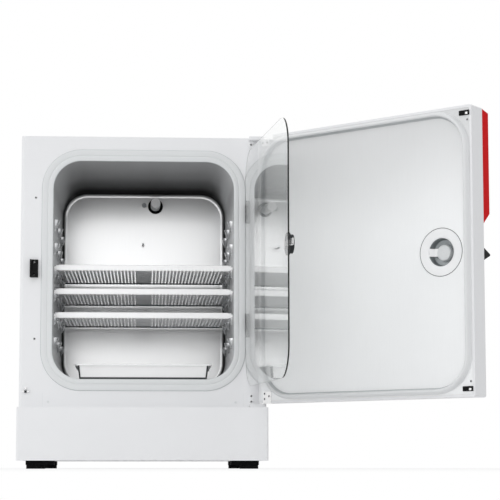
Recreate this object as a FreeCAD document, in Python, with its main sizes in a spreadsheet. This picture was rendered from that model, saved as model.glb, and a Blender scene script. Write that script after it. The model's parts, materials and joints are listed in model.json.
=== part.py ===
import FreeCAD, Part
import os
import re
from Sketcher import Constraint

# Carbon dioxide incubator, in millimetres.
# X runs to the viewer's right, Y into the depth, Z up. The origin is on the
# bench, under the middle of the base. The doors are drawn closed and then
# swung about their hinge axes into the open position.

SIZES = [
    ("cabinet_width", 680),
    ("overall_height", 920),
    ("base_depth", 715),
    ("base_height", 144),
    ("base_step", 71),
    ("base_edge", 6),
    ("front_edge", 10),
    ("foot_height", 22),
    ("vent_width", 14),
    ("vent_pitch", 22),
    ("vent_half_height", 24),
    ("bottom_vent_pitch", 26),
    ("bottom_vent_reach", 90),
    ("pass_half_width", 30),
    ("pass_margin", 4),
    ("sheet", 1.5),
    ("plate", 2),
    ("play", 0.5),
    ("seam", 0.25),
    ("bearing_play", 0.05),
    # chamber
    ("side_wall", 90),
    ("floor_wall", 79),
    ("roof_wall", 69),
    ("rear_space", 104),
    ("chamber_radius", 78),
    ("rear_fillet", 12),
    ("liner_flange", 15),
    ("seal_width", 32.5),
    ("seal_stand", 3),
    ("heater_sheet", 1),
    ("rear_foam", 60),
    ("heater_margin", 40),
    ("heater_corner_gap", 4),
    # shelves
    ("shelf_raise", 18),
    ("support_margin", 51),
    ("shelf_sheet", 1.5),
    ("shelf_bar", 17),
    ("shelf_bar_depth", 10),
    ("shelf_gap", 5),
    ("shelf_setback", 36),
    ("shelf_back", 54),
    ("shelf_slot_width", 6),
    ("shelf_slot_length", 80),
    ("support_reach", 14),
    ("support_length", 34),
    ("support_height", 31),
    ("support_toe", 3),
    # water pan
    ("pan_side", 67.5),
    ("pan_taper", 5),
    ("pan_back", 94),
    ("pan_height", 45),
    ("pan_sheet", 1.2),
    ("pan_lift", 0.3),
    ("pan_rim", 9),
    ("pan_setback", 46),
    # feet
    ("foot_radius", 25.5),
    ("foot_plate", 12),
    ("foot_plate_width", 76),
    ("foot_inset", 24),
    ("foot_setback", 60),
    ("socket_radius", 5),
    ("socket_depth", 8),
    # rear panel
    ("rear_vent_width", 12),
    ("rear_vent_pitch", 20),
    ("rear_vent_height", 60),
    ("rear_vent_rise", 134),
    ("rear_vent_shift", 102),
    ("rear_screw_inset", 7),
    ("rear_screw_margin", 40),
    # outer door
    ("door_gap", 16),
    ("door_depth", 55),
    ("door_left_inset", 2),
    ("door_overhang", 8.2),
    ("door_open", 138.9),
    ("door_foot_gap", 13),
    ("door_edge_radius", 6),
    ("door_return", 6.5),
    ("hinge_inset", 12.4),
    ("hinge_ahead", 21.1),
    ("hinge_pin_radius", 4),
    ("bushing_radius", 6),
    ("arm_height", 9),
    ("arm_radius", 9),
    ("bracket_reach", 36.1),
    ("lower_plate_height", 40),
    ("upper_plate_height", 27),
    ("bracket_plate", 3),
    ("bracket_width", 12),
    ("bracket_screw_rise", 18),
    ("bracket_screw_drop", 19),
    ("notch_clearance", 8),
    ("hinge_leg_reach", 34),
    ("hinge_leg_gap", 7),
    ("hinge_leg_height", 31),
    ("hinge_leg_short", 17),
    ("leg_screw_near", 13),
    ("leg_screw_far", 28),
    ("leg_screw_rise", 11),
    ("leg_screw_step", 7),
    ("gasket_width", 16.5),
    ("gasket_inset", 8),
    ("gasket_radius", 100),
    # cup for the latch
    ("latch_inset", 5.5),
    ("cup_radius", 62.5),
    ("cup_flange", 2.5),
    ("recess_radius", 36),
    ("recess_depth", 23),
    ("recess_wall", 2.5),
    ("boss_radius", 20.5),
    ("boss_sink", 13),
    ("web_width", 17),
    # corner catches and hinge plates on the door
    ("catch_length", 33),
    ("catch_width", 13),
    ("catch_height", 6),
    ("catch_inset", 3),
    ("catch_margin", 14),
    ("catch_screw_inset", 11),
    ("catch_screw_margin", 39),
    # control panel and handle
    ("panel_width", 170),
    ("panel_inset", 0.5),
    ("panel_stand", 33),
    ("panel_drop", 3),
    ("panel_height", 297),
    ("panel_top_slope", 7),
    ("panel_foot_slope", 29),
    ("panel_wall", 3),
    ("panel_draft", 0.5),
    ("display_rim", 6),
    ("display_width", 132),
    ("display_height", 104),
    ("display_sink", 1.5),
    ("display_thick", 4),
    ("key_radius", 7),
    ("key_pitch", 36),
    ("key_stand", 1.2),
    ("key_flange", 2),
    ("handle_length", 150),
    ("handle_height", 32),
    ("handle_stand", 33),
    ("handle_tip", 4),
    ("handle_drop", 6),
    ("handle_draft", 0.5),
    ("grip_margin", 12),
    ("grip_wall", 5),
    # glass door
    ("glass_thick", 4),
    ("glass_margin", 22),
    ("glass_side_margin", 21.4),
    ("glass_radius", 80),
    ("glass_hinge_reach", 34.6),
    ("glass_ratio", 0.7),
    ("knuckle_radius", 4),
    ("knuckle_length", 40),
    ("ear_height", 6),
    ("glass_pin_radius", 1.5),
    ("clamp_reach", 27),
    ("clamp_sheet", 2.5),
    ("hinge_rise", 157),
    ("hinge_drop", 148),
    ("ear_reach", 12),
    ("ear_tab", 12),
    # latch
    ("latch_rise", 1),
    ("spindle_radius", 5),
    ("tongue_thick", 2.7),
    ("tongue_height", 14),
    ("knob_disc_radius", 28.5),
    ("knob_radius", 23.5),
    ("knob_stand", 9),
    ("strike_width", 22),
    ("strike_height", 49),
    ("strike_reach", 51.5),
    ("strike_wall", 3.5),
    ("strike_screw_inset", 7),
    ("spindle_flange", 3),
    # screws
    ("screw_radius", 1.9),
    ("screw_head_radius", 3.6),
    ("screw_head", 1.6),
    # rear fittings
    ("port_x", 35),
    ("port_drop", 39),
    ("port_radius", 15),
    ("port_wall", 8),
    ("port_collar", 3),
    ("port_flange", 6),
    ("stopper_head", 12),
    ("stopper_lip", 5),
    ("stopper_nose", 70),
    ("nozzle_x", 2.5),
    ("nozzle_drop", 161),
    ("nozzle_radius", 3),
    ("nozzle_reach", 28),
    ("nozzle_nut", 4),
    ("tube_radius", 4),
    ("sensor_drop", 36),
    ("sensor_radius", 7),
    ("sensor_reach", 8),
    ("sensor_tip", 6),
    ("sensor_box_width", 52),
    ("sensor_box_height", 52),
    ("sensor_box_depth", 24),
    # gas path
    ("gas_inset", 160),
    ("gas_rise", 83),
    ("gas_fitting_radius", 6),
    ("gas_nut_radius", 9),
    ("gas_nut", 5),
    ("gas_barb_radius", 5),
    ("gas_barb", 12),
    ("gas_bore_radius", 3),
    ("gas_fitting_out", 16),
    ("gas_fitting_in", 22),
    ("valve_half_width", 16),
    ("valve_depth", 48),
    ("valve_rise", 14),
    ("valve_neck", 20),
    ("filter_radius", 14),
    ("filter_setback", 110),
    ("filter_rise", 10),
    # electrics
    ("inlet_inset", 130),
    ("inlet_rise", 70),
    ("inlet_half_width", 13.5),
    ("inlet_half_height", 10),
    ("inlet_flange_half", 24),
    ("inlet_flange", 3),
    ("inlet_body", 26),
    ("inlet_wall", 2),
    ("inlet_sink", 16),
    ("pin_spread", 7),
    ("switch_pitch", 60),
    ("switch_half_width", 7),
    ("switch_rim", 3),
    ("switch_body", 18),
    ("switch_wall", 1.5),
    ("rocker_radius", 5),
    ("rocker_pin_radius", 1.5),
    ("rocker_half_height", 7.5),
    ("rocker_stand", 2.5),
    ("rocker_axis_sink", 3),
    ("rocker_tilt", 9),
    ("supply_inset", 60),
    ("supply_width", 130),
    ("supply_front", 120),
    ("supply_back", 90),
    ("supply_height", 60),
    ("supply_flange", 6),
    ("supply_lip", 4),
    ("board_setback", 107.5),
    ("board_left", 90),
    ("board_width", 200),
    ("board_depth", 140),
    ("board_sheet", 2),
    ("standoff", 12),
    ("standoff_width", 6),
    ("standoff_inset", 8),
]

# Parts on the control board: from its left edge, from its rear edge, width, depth, height
BOARD_PARTS = [(30, 80, 30, 30, 12), (80, 78, 22, 22, 3), (120, 102, 40, 18, 10), (130, 34, 26, 26, 20),
               (30, 36, 50, 14, 8)]

DERIVED = [
    ("half_width", "cabinet_width / 2"),
    ("base_front", "-base_depth / 2"),
    ("base_back", "base_depth / 2"),
    ("front_y", "base_front + base_step"),
    ("frame_back", "front_y + plate"),
    ("frame_rear", "front_y + front_edge + plate"),
    ("base_top", "foot_height + base_height"),
    ("housing_floor_top", "base_top + plate"),
    ("rear_panel_y", "base_back - sheet"),
    ("chamber_width", "cabinet_width - 2 * side_wall"),
    ("chamber_depth", "base_depth - base_step - rear_space"),
    ("chamber_floor", "base_top + floor_wall"),
    ("chamber_roof", "overall_height - roof_wall"),
    ("chamber_height", "chamber_roof - chamber_floor"),
    ("chamber_half", "chamber_width / 2"),
    ("chamber_mid", "chamber_floor + chamber_height / 2"),
    ("rear_wall", "front_y + chamber_depth"),
    ("rear_outside", "rear_wall + sheet"),
    ("foam_front", "frame_back + sheet"),
    ("foam_back", "rear_outside + rear_foam"),
    ("seal_front", "front_y - seal_stand"),
    ("shelf_top", "chamber_mid + shelf_raise"),
    ("shelf_pitch", "(chamber_height - 2 * chamber_radius - support_margin) / 6"),
    ("shelf_depth", "chamber_depth - shelf_setback - shelf_back"),
    ("shelf_front", "front_y + shelf_setback"),
    ("shelf_half", "chamber_half - shelf_gap"),
    ("pan_width", "chamber_width - 2 * pan_side"),
    ("pan_floor_width", "pan_width - 2 * pan_taper"),
    ("pan_depth", "chamber_depth - pan_setback - pan_back"),
    ("pan_front", "front_y + pan_setback"),
    ("door_inner", "front_y - door_gap"),
    ("door_outer", "door_inner - door_depth"),
    ("door_foot", "base_top + door_foot_gap"),
    ("door_mid", "(door_foot + overall_height) / 2"),
    ("door_tall", "overall_height - door_foot"),
    ("hinge_x", "half_width - hinge_inset"),
    ("door_left", "-half_width + door_left_inset"),
    ("door_right", "hinge_x + door_overhang"),
    ("door_wide", "door_right - door_left"),
    ("door_centre", "(door_left + door_right) / 2"),
    ("hinge_y", "front_y - hinge_ahead"),
    ("door_back_face", "door_inner - plate"),
    ("bracket_left", "hinge_x - bracket_reach"),
    ("lower_arm_foot", "base_top + 2 * play"),
    ("lower_arm_top", "lower_arm_foot + arm_height"),
    ("upper_arm_top", "overall_height - play"),
    ("upper_arm_foot", "upper_arm_top - arm_height"),
    ("notch_foot", "upper_arm_foot - play - plate"),
    ("notch_left", "bracket_left - notch_clearance"),
    ("tube_y", "foam_back + 10"),
    ("latch_height", "chamber_mid + latch_rise"),
    ("cup_x", "latch_inset - chamber_half"),
    ("cup_z", "latch_height"),
    ("handle_centre", "latch_height - handle_drop"),
    ("panel_top", "overall_height - panel_drop"),
    ("panel_foot", "panel_top - panel_height"),
    ("panel_face_top", "panel_top - panel_top_slope"),
    ("panel_face_foot", "panel_foot + panel_foot_slope"),
    ("panel_left", "door_left + panel_inset"),
    ("panel_right", "panel_left + panel_width"),
    ("panel_face", "door_outer - panel_stand"),
    ("panel_mid", "(panel_left + panel_right) / 2"),
    ("display_mid", "(panel_face_foot + panel_face_top) / 2 + display_height / 4"),
    ("key_row", "display_mid - display_height / 2 - 5 * key_radius"),
    ("glass_inner", "seal_front - play"),
    ("glass_outer", "glass_inner - glass_thick"),
    ("glass_axis_y", "glass_outer - play"),
    ("glass_open", "door_open * glass_ratio"),
    ("glass_axis", "chamber_half + glass_hinge_reach"),
    ("glass_right", "glass_axis - 2 * knuckle_radius"),
    ("glass_width", "glass_right + chamber_half + glass_side_margin"),
    ("glass_height", "chamber_height + 2 * glass_margin"),
    ("glass_foot", "chamber_floor - glass_margin"),
    ("hinge_upper", "chamber_mid + hinge_rise"),
    ("hinge_lower", "chamber_mid - hinge_drop"),
    ("glass_mid_x", "glass_right - glass_width / 2"),
    ("glass_mid_z", "glass_foot + glass_height / 2"),
    ("tongue_back", "glass_outer - seam"),
    ("tongue_front", "tongue_back - tongue_thick"),
    ("disc_front", "tongue_front - plate"),
    ("knob_front", "disc_front - knob_stand"),
    ("strike_centre", "chamber_half + strike_reach"),
    ("strike_left", "-strike_centre - strike_width / 2"),
    ("strike_right", "-strike_centre + strike_width / 2"),
    ("strike_front", "door_inner + play"),
    ("strike_foot", "latch_height - strike_height / 2"),
    ("port_z", "chamber_roof - port_drop"),
    ("sensor_z", "chamber_roof - sensor_drop"),
    ("nozzle_z", "chamber_roof - nozzle_drop"),
    ("gas_x", "half_width - gas_inset"),
    ("gas_z", "foot_height + gas_rise"),
    ("inlet_x", "half_width - inlet_inset"),
    ("inlet_z", "foot_height + inlet_rise"),
    ("switch_x", "inlet_x - switch_pitch"),
    ("rocker_y", "base_back - rocker_axis_sink"),
    ("rocker_half", "switch_half_width - switch_wall - play"),
    ("rocker_end", "switch_half_width - 2 * play"),
    ("supply_left", "-half_width + supply_inset"),
    ("supply_right", "supply_left + supply_width"),
    ("board_back", "base_back - board_setback"),
    ("board_foot", "base_floor + standoff"),
    ("board_top", "board_foot + board_sheet"),
    ("valve_front", "base_back - gas_fitting_in - valve_depth"),
    ("valve_top", "gas_z + valve_rise"),
    ("base_floor", "foot_height + plate"),
    ("foot_x", "half_width - foot_inset - foot_radius"),
    ("foot_y", "base_depth / 2 - foot_setback"),
]

doc = FreeCAD.newDocument("incubator")
sheet = doc.addObject("Spreadsheet::Sheet", "sizes")
row = 0
for alias, amount in SIZES:
    row += 1
    sheet.set("A%d" % row, alias)
    sheet.set("B%d" % row, str(amount))
    sheet.setAlias("B%d" % row, alias)
for alias, formula in DERIVED:
    row += 1
    sheet.set("A%d" % row, alias)
    sheet.set("B%d" % row, "=" + formula)
    sheet.setAlias("B%d" % row, alias)
doc.recompute()

KNOWN = {alias for alias, amount in SIZES} | {alias for alias, formula in DERIVED}


def bound(text):
    """Give each size named in the text its place in the sheet."""
    text = str(text)
    return re.sub(r"[a-z][a-z_]*", lambda word: "sizes." + word[0] if word[0] in KNOWN else word[0], text)


def drive(thing, prop, text):
    thing.setExpression(prop, bound(text))


def block(x0, x1, y0, y1, z0, z1):
    """A box between two corners."""
    box = doc.addObject("Part::Box", "Block")
    drive(box, "Length", "(%s) - (%s)" % (x1, x0))
    drive(box, "Width", "(%s) - (%s)" % (y1, y0))
    drive(box, "Height", "(%s) - (%s)" % (z1, z0))
    drive(box, "Placement.Base.x", x0)
    drive(box, "Placement.Base.y", y0)
    drive(box, "Placement.Base.z", z0)
    return box


TURNS = {
    "x": FreeCAD.Rotation(FreeCAD.Vector(0, 1, 0), 90),
    "y": FreeCAD.Rotation(FreeCAD.Vector(1, 0, 0), -90),
    "z": FreeCAD.Rotation(),
}


def rod(axis, radius, first, second, start, end):
    """A cylinder along an axis, at the two other coordinates in X, Y, Z order."""
    pin = doc.addObject("Part::Cylinder", "Rod")
    pin.Placement = FreeCAD.Placement(FreeCAD.Vector(), TURNS[axis])
    places = dict(zip([a for a in "xyz" if a != axis], (first, second)))
    places[axis] = start
    drive(pin, "Radius", radius)
    drive(pin, "Height", "(%s) - (%s)" % (end, start))
    for a in "xyz":
        drive(pin, "Placement.Base." + a, places[a])
    return pin


def wedge(near, far, y0, y1):
    """A frustum along Y. near and far are (x0, x1, z0, z1) at y0 and at y1."""
    body = doc.addObject("Part::Wedge", "Wedge")
    names = ("Xmin", "Xmax", "Zmin", "Zmax"), ("X2min", "X2max", "Z2min", "Z2max")
    for props, values in zip(names, (near, far)):
        for prop, text in zip(props, values):
            drive(body, prop, text)
    drive(body, "Ymin", y0)
    drive(body, "Ymax", y1)
    return body


def group(parts):
    """Separate solids kept together."""
    together = doc.addObject("Part::Compound", "Group")
    together.Links = parts
    return together


def join(parts):
    fused = doc.addObject("Part::MultiFuse", "Join")
    fused.Shapes = parts
    fused.Refine = True
    return fused


def cut(base, tools):
    if len(tools) == 1:
        tool = tools[0]
    else:
        tool = doc.addObject("Part::MultiFuse", "Tools")
        tool.Shapes = tools
    less = doc.addObject("Part::Cut", "Cut")
    less.Base = base
    less.Tool = tool
    return less


def plane(body, role):
    return next(f for f in body.Origin.OriginFeatures if f.Role == role)


def sketch(body, role, centre, level):
    """A sketch on a base plane, its origin at centre, its plane at level."""
    sk = body.newObject("Sketcher::SketchObject", "Sketch")
    sk.AttachmentSupport = [(plane(body, role), "")]
    sk.MapMode = "FlatFace"
    drive(sk, "AttachmentOffset.Base.x", centre[0])
    drive(sk, "AttachmentOffset.Base.y", centre[1])
    drive(sk, "AttachmentOffset.Base.z", level)
    return sk


def rounded(sk, width, height, radius):
    """A rounded rectangle about the sketch's origin."""
    w, h, r = 50.0, 40.0, 5.0
    vec = FreeCAD.Vector
    corners = [
        (vec(w - r, -h + r, 0), -1.5707963, 0.0),
        (vec(w - r, h - r, 0), 0.0, 1.5707963),
        (vec(-w + r, h - r, 0), 1.5707963, 3.1415927),
        (vec(-w + r, -h + r, 0), 3.1415927, 4.7123890),
    ]
    sides = [
        (vec(-w + r, -h, 0), vec(w - r, -h, 0)),
        (vec(w, -h + r, 0), vec(w, h - r, 0)),
        (vec(w - r, h, 0), vec(-w + r, h, 0)),
        (vec(-w, h - r, 0), vec(-w, -h + r, 0)),
    ]
    for (start, end), (mid, first, last) in zip(sides, corners):
        sk.addGeometry(Part.LineSegment(start, end), False)
        sk.addGeometry(Part.ArcOfCircle(Part.Circle(mid, vec(0, 0, 1), r), first, last), False)
    for i in range(4):
        sk.addConstraint(Constraint("Tangent", 2 * i, 2, 2 * i + 1, 1))
        sk.addConstraint(Constraint("Tangent", 2 * i + 1, 2, (2 * i + 2) % 8, 1))
    for line in (0, 4):
        sk.addConstraint(Constraint("Horizontal", line))
    for line in (2, 6):
        sk.addConstraint(Constraint("Vertical", line))
    for arc in (3, 5, 7):
        sk.addConstraint(Constraint("Equal", 1, arc))
    sk.addConstraint(Constraint("Symmetric", 1, 3, 5, 3, -1, 1))
    i = sk.addConstraint(Constraint("DistanceX", 6, 1, 2, 1, 2 * w))
    drive(sk, "Constraints[%d]" % i, width)
    i = sk.addConstraint(Constraint("DistanceY", 0, 1, 4, 1, 2 * h))
    drive(sk, "Constraints[%d]" % i, height)
    i = sk.addConstraint(Constraint("Radius", 1, r))
    drive(sk, "Constraints[%d]" % i, radius)


def slab(centre, size, y0, y1):
    """A body with a rounded rectangular pad, seen from the front, from y0 to y1."""
    body = doc.addObject("PartDesign::Body", "Body")
    sk = sketch(body, "XZ_Plane", centre, "-(%s)" % y1)
    rounded(sk, *size)
    pad = body.newObject("PartDesign::Pad", "Pad")
    pad.Profile = sk
    drive(pad, "Length", "(%s) - (%s)" % (y1, y0))
    body.Tip = pad
    return body


def soften_rear(body, radius):
    """Fillet the edges of a slab's rear face."""
    doc.recompute()
    tip = body.Tip
    rear = tip.Shape.BoundBox.YMax
    names = [
        "Edge%d" % (i + 1) for i, edge in enumerate(tip.Shape.Edges)
        if all(abs(v.Y - rear) < 0.001 for v in edge.Vertexes)
    ]
    fillet = body.newObject("PartDesign::Fillet", "Fillet")
    fillet.Base = (tip, names)
    drive(fillet, "Radius", radius)
    body.Tip = fillet
    return body


def hollow(body, centre, size, y0, y1):
    """A rounded rectangular pocket of a slab, from y0 back to y1."""
    sk = sketch(body, "XZ_Plane", centre, "-(%s)" % y0)
    rounded(sk, *size)
    pocket = body.newObject("PartDesign::Pocket", "Pocket")
    pocket.Profile = sk
    drive(pocket, "Length", "(%s) - (%s)" % (y1, y0))
    body.Tip = pocket
    return body


def lay(centre, size, z0, z1):
    """A body with a rounded rectangular pad, seen from above, from z0 to z1."""
    body = doc.addObject("PartDesign::Body", "Body")
    sk = sketch(body, "XY_Plane", centre, z0)
    rounded(sk, *size)
    pad = body.newObject("PartDesign::Pad", "Pad")
    pad.Profile = sk
    drive(pad, "Length", "(%s) - (%s)" % (z1, z0))
    body.Tip = pad
    return body


def screws(points, seat, tip, faces_front=True):
    """Pan head screws along Y. The head stands in front of the seat."""
    made = []
    for x, z in points:
        head = ("%s - screw_head" % seat, seat) if faces_front else (seat, "%s + screw_head" % seat)
        shank = (seat, tip) if faces_front else (tip, seat)
        made.append(join([
            rod("y", "screw_head_radius", x, z, *head),
            rod("y", "screw_radius", x, z, *shank),
        ]))
    return made


def drills(points, y0, y1):
    """Clearance holes for those screws."""
    return [rod("y", "screw_radius + bearing_play", x, z, y0, y1) for x, z in points]


def slots(count, pitch, width, middle, y0, y1, z0, z1):
    """A row of slots along X, centred on middle."""
    made = []
    for i in range(count):
        x = "%s + %g * %s" % (middle, i - (count - 1) / 2, pitch)
        made.append(block("%s - %s / 2" % (x, width), "%s + %s / 2" % (x, width), y0, y1, z0, z1))
    return made


def gas_pass(z0, z1):
    """The hole for the gas tube between the base and the housing."""
    return block("gas_x - pass_half_width", "gas_x + pass_half_width", "foam_back + pass_margin",
                 "rear_panel_y - pass_margin", z0, z1)


def swing(thing, x, y, angle):
    """Turn a finished piece about an upright axis."""
    thing.Placement = FreeCAD.Placement(FreeCAD.Vector(), FreeCAD.Rotation(FreeCAD.Vector(0, 0, 1), 1))
    turn = "(%s) * 1 deg" % angle
    drive(thing, "Placement.Rotation.Angle", turn)
    drive(thing, "Placement.Base.x", "%s - %s * cos(%s) + %s * sin(%s)" % (x, x, turn, y, turn))
    drive(thing, "Placement.Base.y", "%s - %s * sin(%s) - %s * cos(%s)" % (y, x, turn, y, turn))


def tilt(thing, y, z, angle):
    """Turn a finished piece about an axis along X."""
    thing.Placement = FreeCAD.Placement(FreeCAD.Vector(), FreeCAD.Rotation(FreeCAD.Vector(1, 0, 0), 1))
    turn = "(%s) * 1 deg" % angle
    drive(thing, "Placement.Rotation.Angle", turn)
    drive(thing, "Placement.Base.y", "(%s) * (1 - cos(%s)) + (%s) * sin(%s)" % (y, turn, z, turn))
    drive(thing, "Placement.Base.z", "(%s) * (1 - cos(%s)) - (%s) * sin(%s)" % (z, turn, y, turn))


FINISHED = []


def finish(thing, label, door=None):
    """Name a finished piece, and swing it with its door."""
    if door == "outer":
        swing(thing, "hinge_x", "hinge_y", "door_open")
    if door == "glass":
        swing(thing, "glass_axis", "glass_axis_y", "glass_open")
    thing.Label = label
    FINISHED.append(thing)


# Base
base_skin = ("base_back - 2 * plate", "base_back + plate")
base_walls = cut(
    lay(("0", "0"), ("cabinet_width", "base_depth", "base_edge"), "foot_height + plate", "base_top"),
    [
        block("-half_width + plate", "half_width - plate", "base_front + plate", "base_back - plate",
              "foot_height", "base_top - plate"),
        block("-inlet_x - inlet_half_width", "-inlet_x + inlet_half_width", *base_skin,
              "inlet_z - inlet_half_height", "inlet_z + inlet_half_height"),
        block("-switch_x - switch_half_width", "-switch_x + switch_half_width", *base_skin,
              "inlet_z - inlet_half_height", "inlet_z + inlet_half_height"),
        rod("y", "gas_fitting_radius + seam", "gas_x", "gas_z", *base_skin),
        gas_pass("base_top - 2 * plate", "base_top + plate"),
    ]
    + slots(8, "vent_pitch", "vent_width", "0", *base_skin, "inlet_z - vent_half_height",
            "inlet_z + vent_half_height"),
)
finish(base_walls, "base_housing")

bottom = cut(
    lay(("0", "0"), ("cabinet_width", "base_depth", "base_edge"), "foot_height", "foot_height + plate"),
    slots(9, "bottom_vent_pitch", "vent_width", "0", "-bottom_vent_reach", "bottom_vent_reach",
          "foot_height - plate", "foot_height + 2 * plate"),
)
finish(bottom, "base_bottom_plate")

feet = []
for side in ("-", ""):
    for end in ("-", ""):
        x = "%sfoot_x" % side
        y = "%sfoot_y" % end
        outer_x = "%s(half_width - foot_inset)" % side
        plate_width = "foot_plate_width" if end else "2 * foot_radius"
        inner_x = "%s(half_width - foot_inset - %s)" % (side, plate_width)
        x0, x1 = (outer_x, inner_x) if side else (inner_x, outer_x)
        feet.append(cut(
            join([
                block(x0, x1, "%s - foot_radius" % y, "%s + foot_radius" % y,
                      "foot_height - foot_plate", "foot_height"),
                rod("z", "foot_radius", x, y, "0", "foot_height - foot_plate"),
            ]),
            [rod("z", "socket_radius", x, y, "-plate", "socket_depth")],
        ))
finish(group(feet), "feet")

# Housing
finish(cut(
    block("-half_width", "half_width", "frame_rear", "rear_panel_y", "base_top", "housing_floor_top"),
    [gas_pass("base_top - plate", "housing_floor_top + plate")],
), "housing_floor")

finish(cut(
    block("-half_width", "half_width", "frame_rear", "rear_panel_y", "housing_floor_top", "overall_height"),
    [block("-half_width + sheet", "half_width - sheet", "frame_rear - plate", "rear_panel_y + plate",
           "base_top", "overall_height - sheet")],
), "housing_wrap")

rear_points = [
    ("%s(half_width - rear_screw_inset)" % side, z)
    for side in ("-", "")
    for z in ("base_top + rear_screw_margin", "overall_height - rear_screw_margin")
]
rear_skin = ("rear_panel_y - plate", "base_back + plate")
vent_foot = "base_top + rear_vent_rise"
rear_panel = cut(
    block("-half_width", "half_width", "rear_panel_y", "base_back", "base_top", "overall_height"),
    [rod("y", "port_radius + port_wall + seam", "port_x", "port_z", *rear_skin)]
    + slots(12, "rear_vent_pitch", "rear_vent_width", "-rear_vent_shift", *rear_skin,
            vent_foot, "%s + rear_vent_height" % vent_foot)
    + drills(rear_points, *rear_skin),
)
finish(rear_panel, "rear_panel")

# Front frame, folded back round both upright edges, with the chamber opening
lip = "2 * plate"
frame_span = "(4 * front_edge)"
frame_mid = ("0", "front_y + %s / 2" % frame_span)
frame = cut(
    lay(frame_mid, ("cabinet_width", frame_span, "front_edge"), "base_top", "overall_height"),
    [
        lay(frame_mid, ("cabinet_width - 2 * plate", "%s - 2 * plate" % frame_span, "front_edge - plate"),
            "base_top - plate", "overall_height - sheet"),
        block("-cabinet_width", "cabinet_width", "frame_rear", "front_y + 5 * front_edge",
              "foot_height", "overall_height + plate"),
        slab(("0", "chamber_mid"),
             ("chamber_width + %s" % lip, "chamber_height + %s" % lip, "chamber_radius + plate"),
             "front_y - plate", "frame_back + plate"),
    ],
)

bracket_screw_x = "bracket_left + bracket_width / 2"
bracket_points = [
    (bracket_screw_x, "base_top + bracket_screw_rise"),
    (bracket_screw_x, "base_top + lower_plate_height - leg_screw_step"),
    (bracket_screw_x, "overall_height - bracket_screw_drop"),
]
tab_x = "glass_axis + (ear_reach + 1) / 2"
tab_reach = "knuckle_length / 2 + ear_height + ear_tab / 2"
glass_points = [(tab_x, "hinge_upper + " + tab_reach), (tab_x, "hinge_lower - (%s)" % tab_reach)]
strike_points = [
    ("-strike_centre", "strike_foot + strike_screw_inset"),
    ("-strike_centre", "strike_foot + strike_height - strike_screw_inset"),
]
frame_cut = cut(frame, drills(bracket_points + glass_points + strike_points, "front_y - plate",
                              "frame_back + plate"))
finish(frame_cut, "front_frame")

seal = slab(("0", "chamber_mid"),
            ("chamber_width + 2 * seal_width", "chamber_height + 2 * seal_width",
             "chamber_radius + seal_width"),
            "seal_front", "front_y")
hollow(seal, ("0", "chamber_mid"), ("chamber_width", "chamber_height", "chamber_radius"), "seal_front",
       "front_y")
lip_body = slab(("0", "chamber_mid"),
                ("chamber_width + %s - 2 * seam" % lip, "chamber_height + %s - 2 * seam" % lip,
                 "chamber_radius + plate - seam"),
                "front_y", "frame_back")
hollow(lip_body, ("0", "chamber_mid"), ("chamber_width", "chamber_height", "chamber_radius"), "front_y",
       "frame_back")
finish(join([seal, lip_body]), "chamber_seal_ring")

# Chamber
liner = slab(("0", "chamber_mid"),
             ("chamber_width + 2 * liner_flange", "chamber_height + 2 * liner_flange",
              "chamber_radius + liner_flange"),
             "frame_back", "foam_front")
tub = slab(("0", "chamber_mid"),
           ("chamber_width + 2 * sheet", "chamber_height + 2 * sheet", "chamber_radius + sheet"),
           "frame_back", "rear_outside")
soften_rear(tub, "rear_fillet + sheet")
space = slab(("0", "chamber_mid"), ("chamber_width", "chamber_height", "chamber_radius"), "front_y",
             "rear_wall")
soften_rear(space, "rear_fillet")
liner_shape = cut(join([liner, tub]), [
    space,
    rod("y", "port_radius + port_wall + seam", "port_x", "port_z", "rear_wall - plate",
        "rear_outside + plate"),
    rod("y", "nozzle_radius + seam", "-nozzle_x", "nozzle_z", "rear_wall - plate", "rear_outside + plate"),
    rod("y", "sensor_radius + seam", "0", "sensor_z", "rear_wall - plate", "rear_outside + plate"),
])
finish(liner_shape, "chamber_liner")

mat = "(heater_sheet + sheet)"
heater_y = ("foam_front + heater_margin", "rear_outside - heater_margin")
heater_corner = "(chamber_radius + heater_corner_gap)"
heater_z = ("chamber_floor + " + heater_corner, "chamber_roof - " + heater_corner)
flat_x = "(chamber_half - %s)" % heater_corner
heaters = [
    block("-chamber_half - %s" % mat, "-chamber_half - sheet", *heater_y, *heater_z),
    block("chamber_half + sheet", "chamber_half + %s" % mat, *heater_y, *heater_z),
    block("-%s" % flat_x, flat_x, *heater_y, "chamber_floor - %s" % mat, "chamber_floor - sheet"),
    block("-%s" % flat_x, flat_x, *heater_y, "chamber_roof + sheet", "chamber_roof + %s" % mat),
    block("-%s" % flat_x, flat_x, "rear_outside", "rear_outside + heater_sheet",
          heater_z[0], "nozzle_z - heater_margin"),
]
finish(group(heaters), "chamber_heating_mats")

foam_gap = "(sheet + heater_sheet + play)"
foam_hollow = slab(("0", "chamber_mid"),
                   ("chamber_width + 2 * %s" % foam_gap, "chamber_height + 2 * %s" % foam_gap,
                    "chamber_radius + %s" % foam_gap),
                   "frame_back", "rear_outside + heater_sheet + play")
foam = cut(
    lay(("0", "(foam_front + foam_back) / 2"),
        ("cabinet_width - 2 * plate - 2 * play", "foam_back - foam_front", "front_edge"),
        "housing_floor_top", "overall_height - sheet - play"),
    [
        foam_hollow,
        rod("y", "port_radius + port_wall + play", "port_x", "port_z", "rear_wall", "foam_back + plate"),
        rod("y", "nozzle_radius + play", "-nozzle_x", "nozzle_z", "rear_wall", "foam_back + plate"),
        rod("y", "sensor_radius + play", "0", "sensor_z", "rear_wall", "foam_back + plate"),
    ],
)
finish(foam, "cabinet_insulation")


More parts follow.
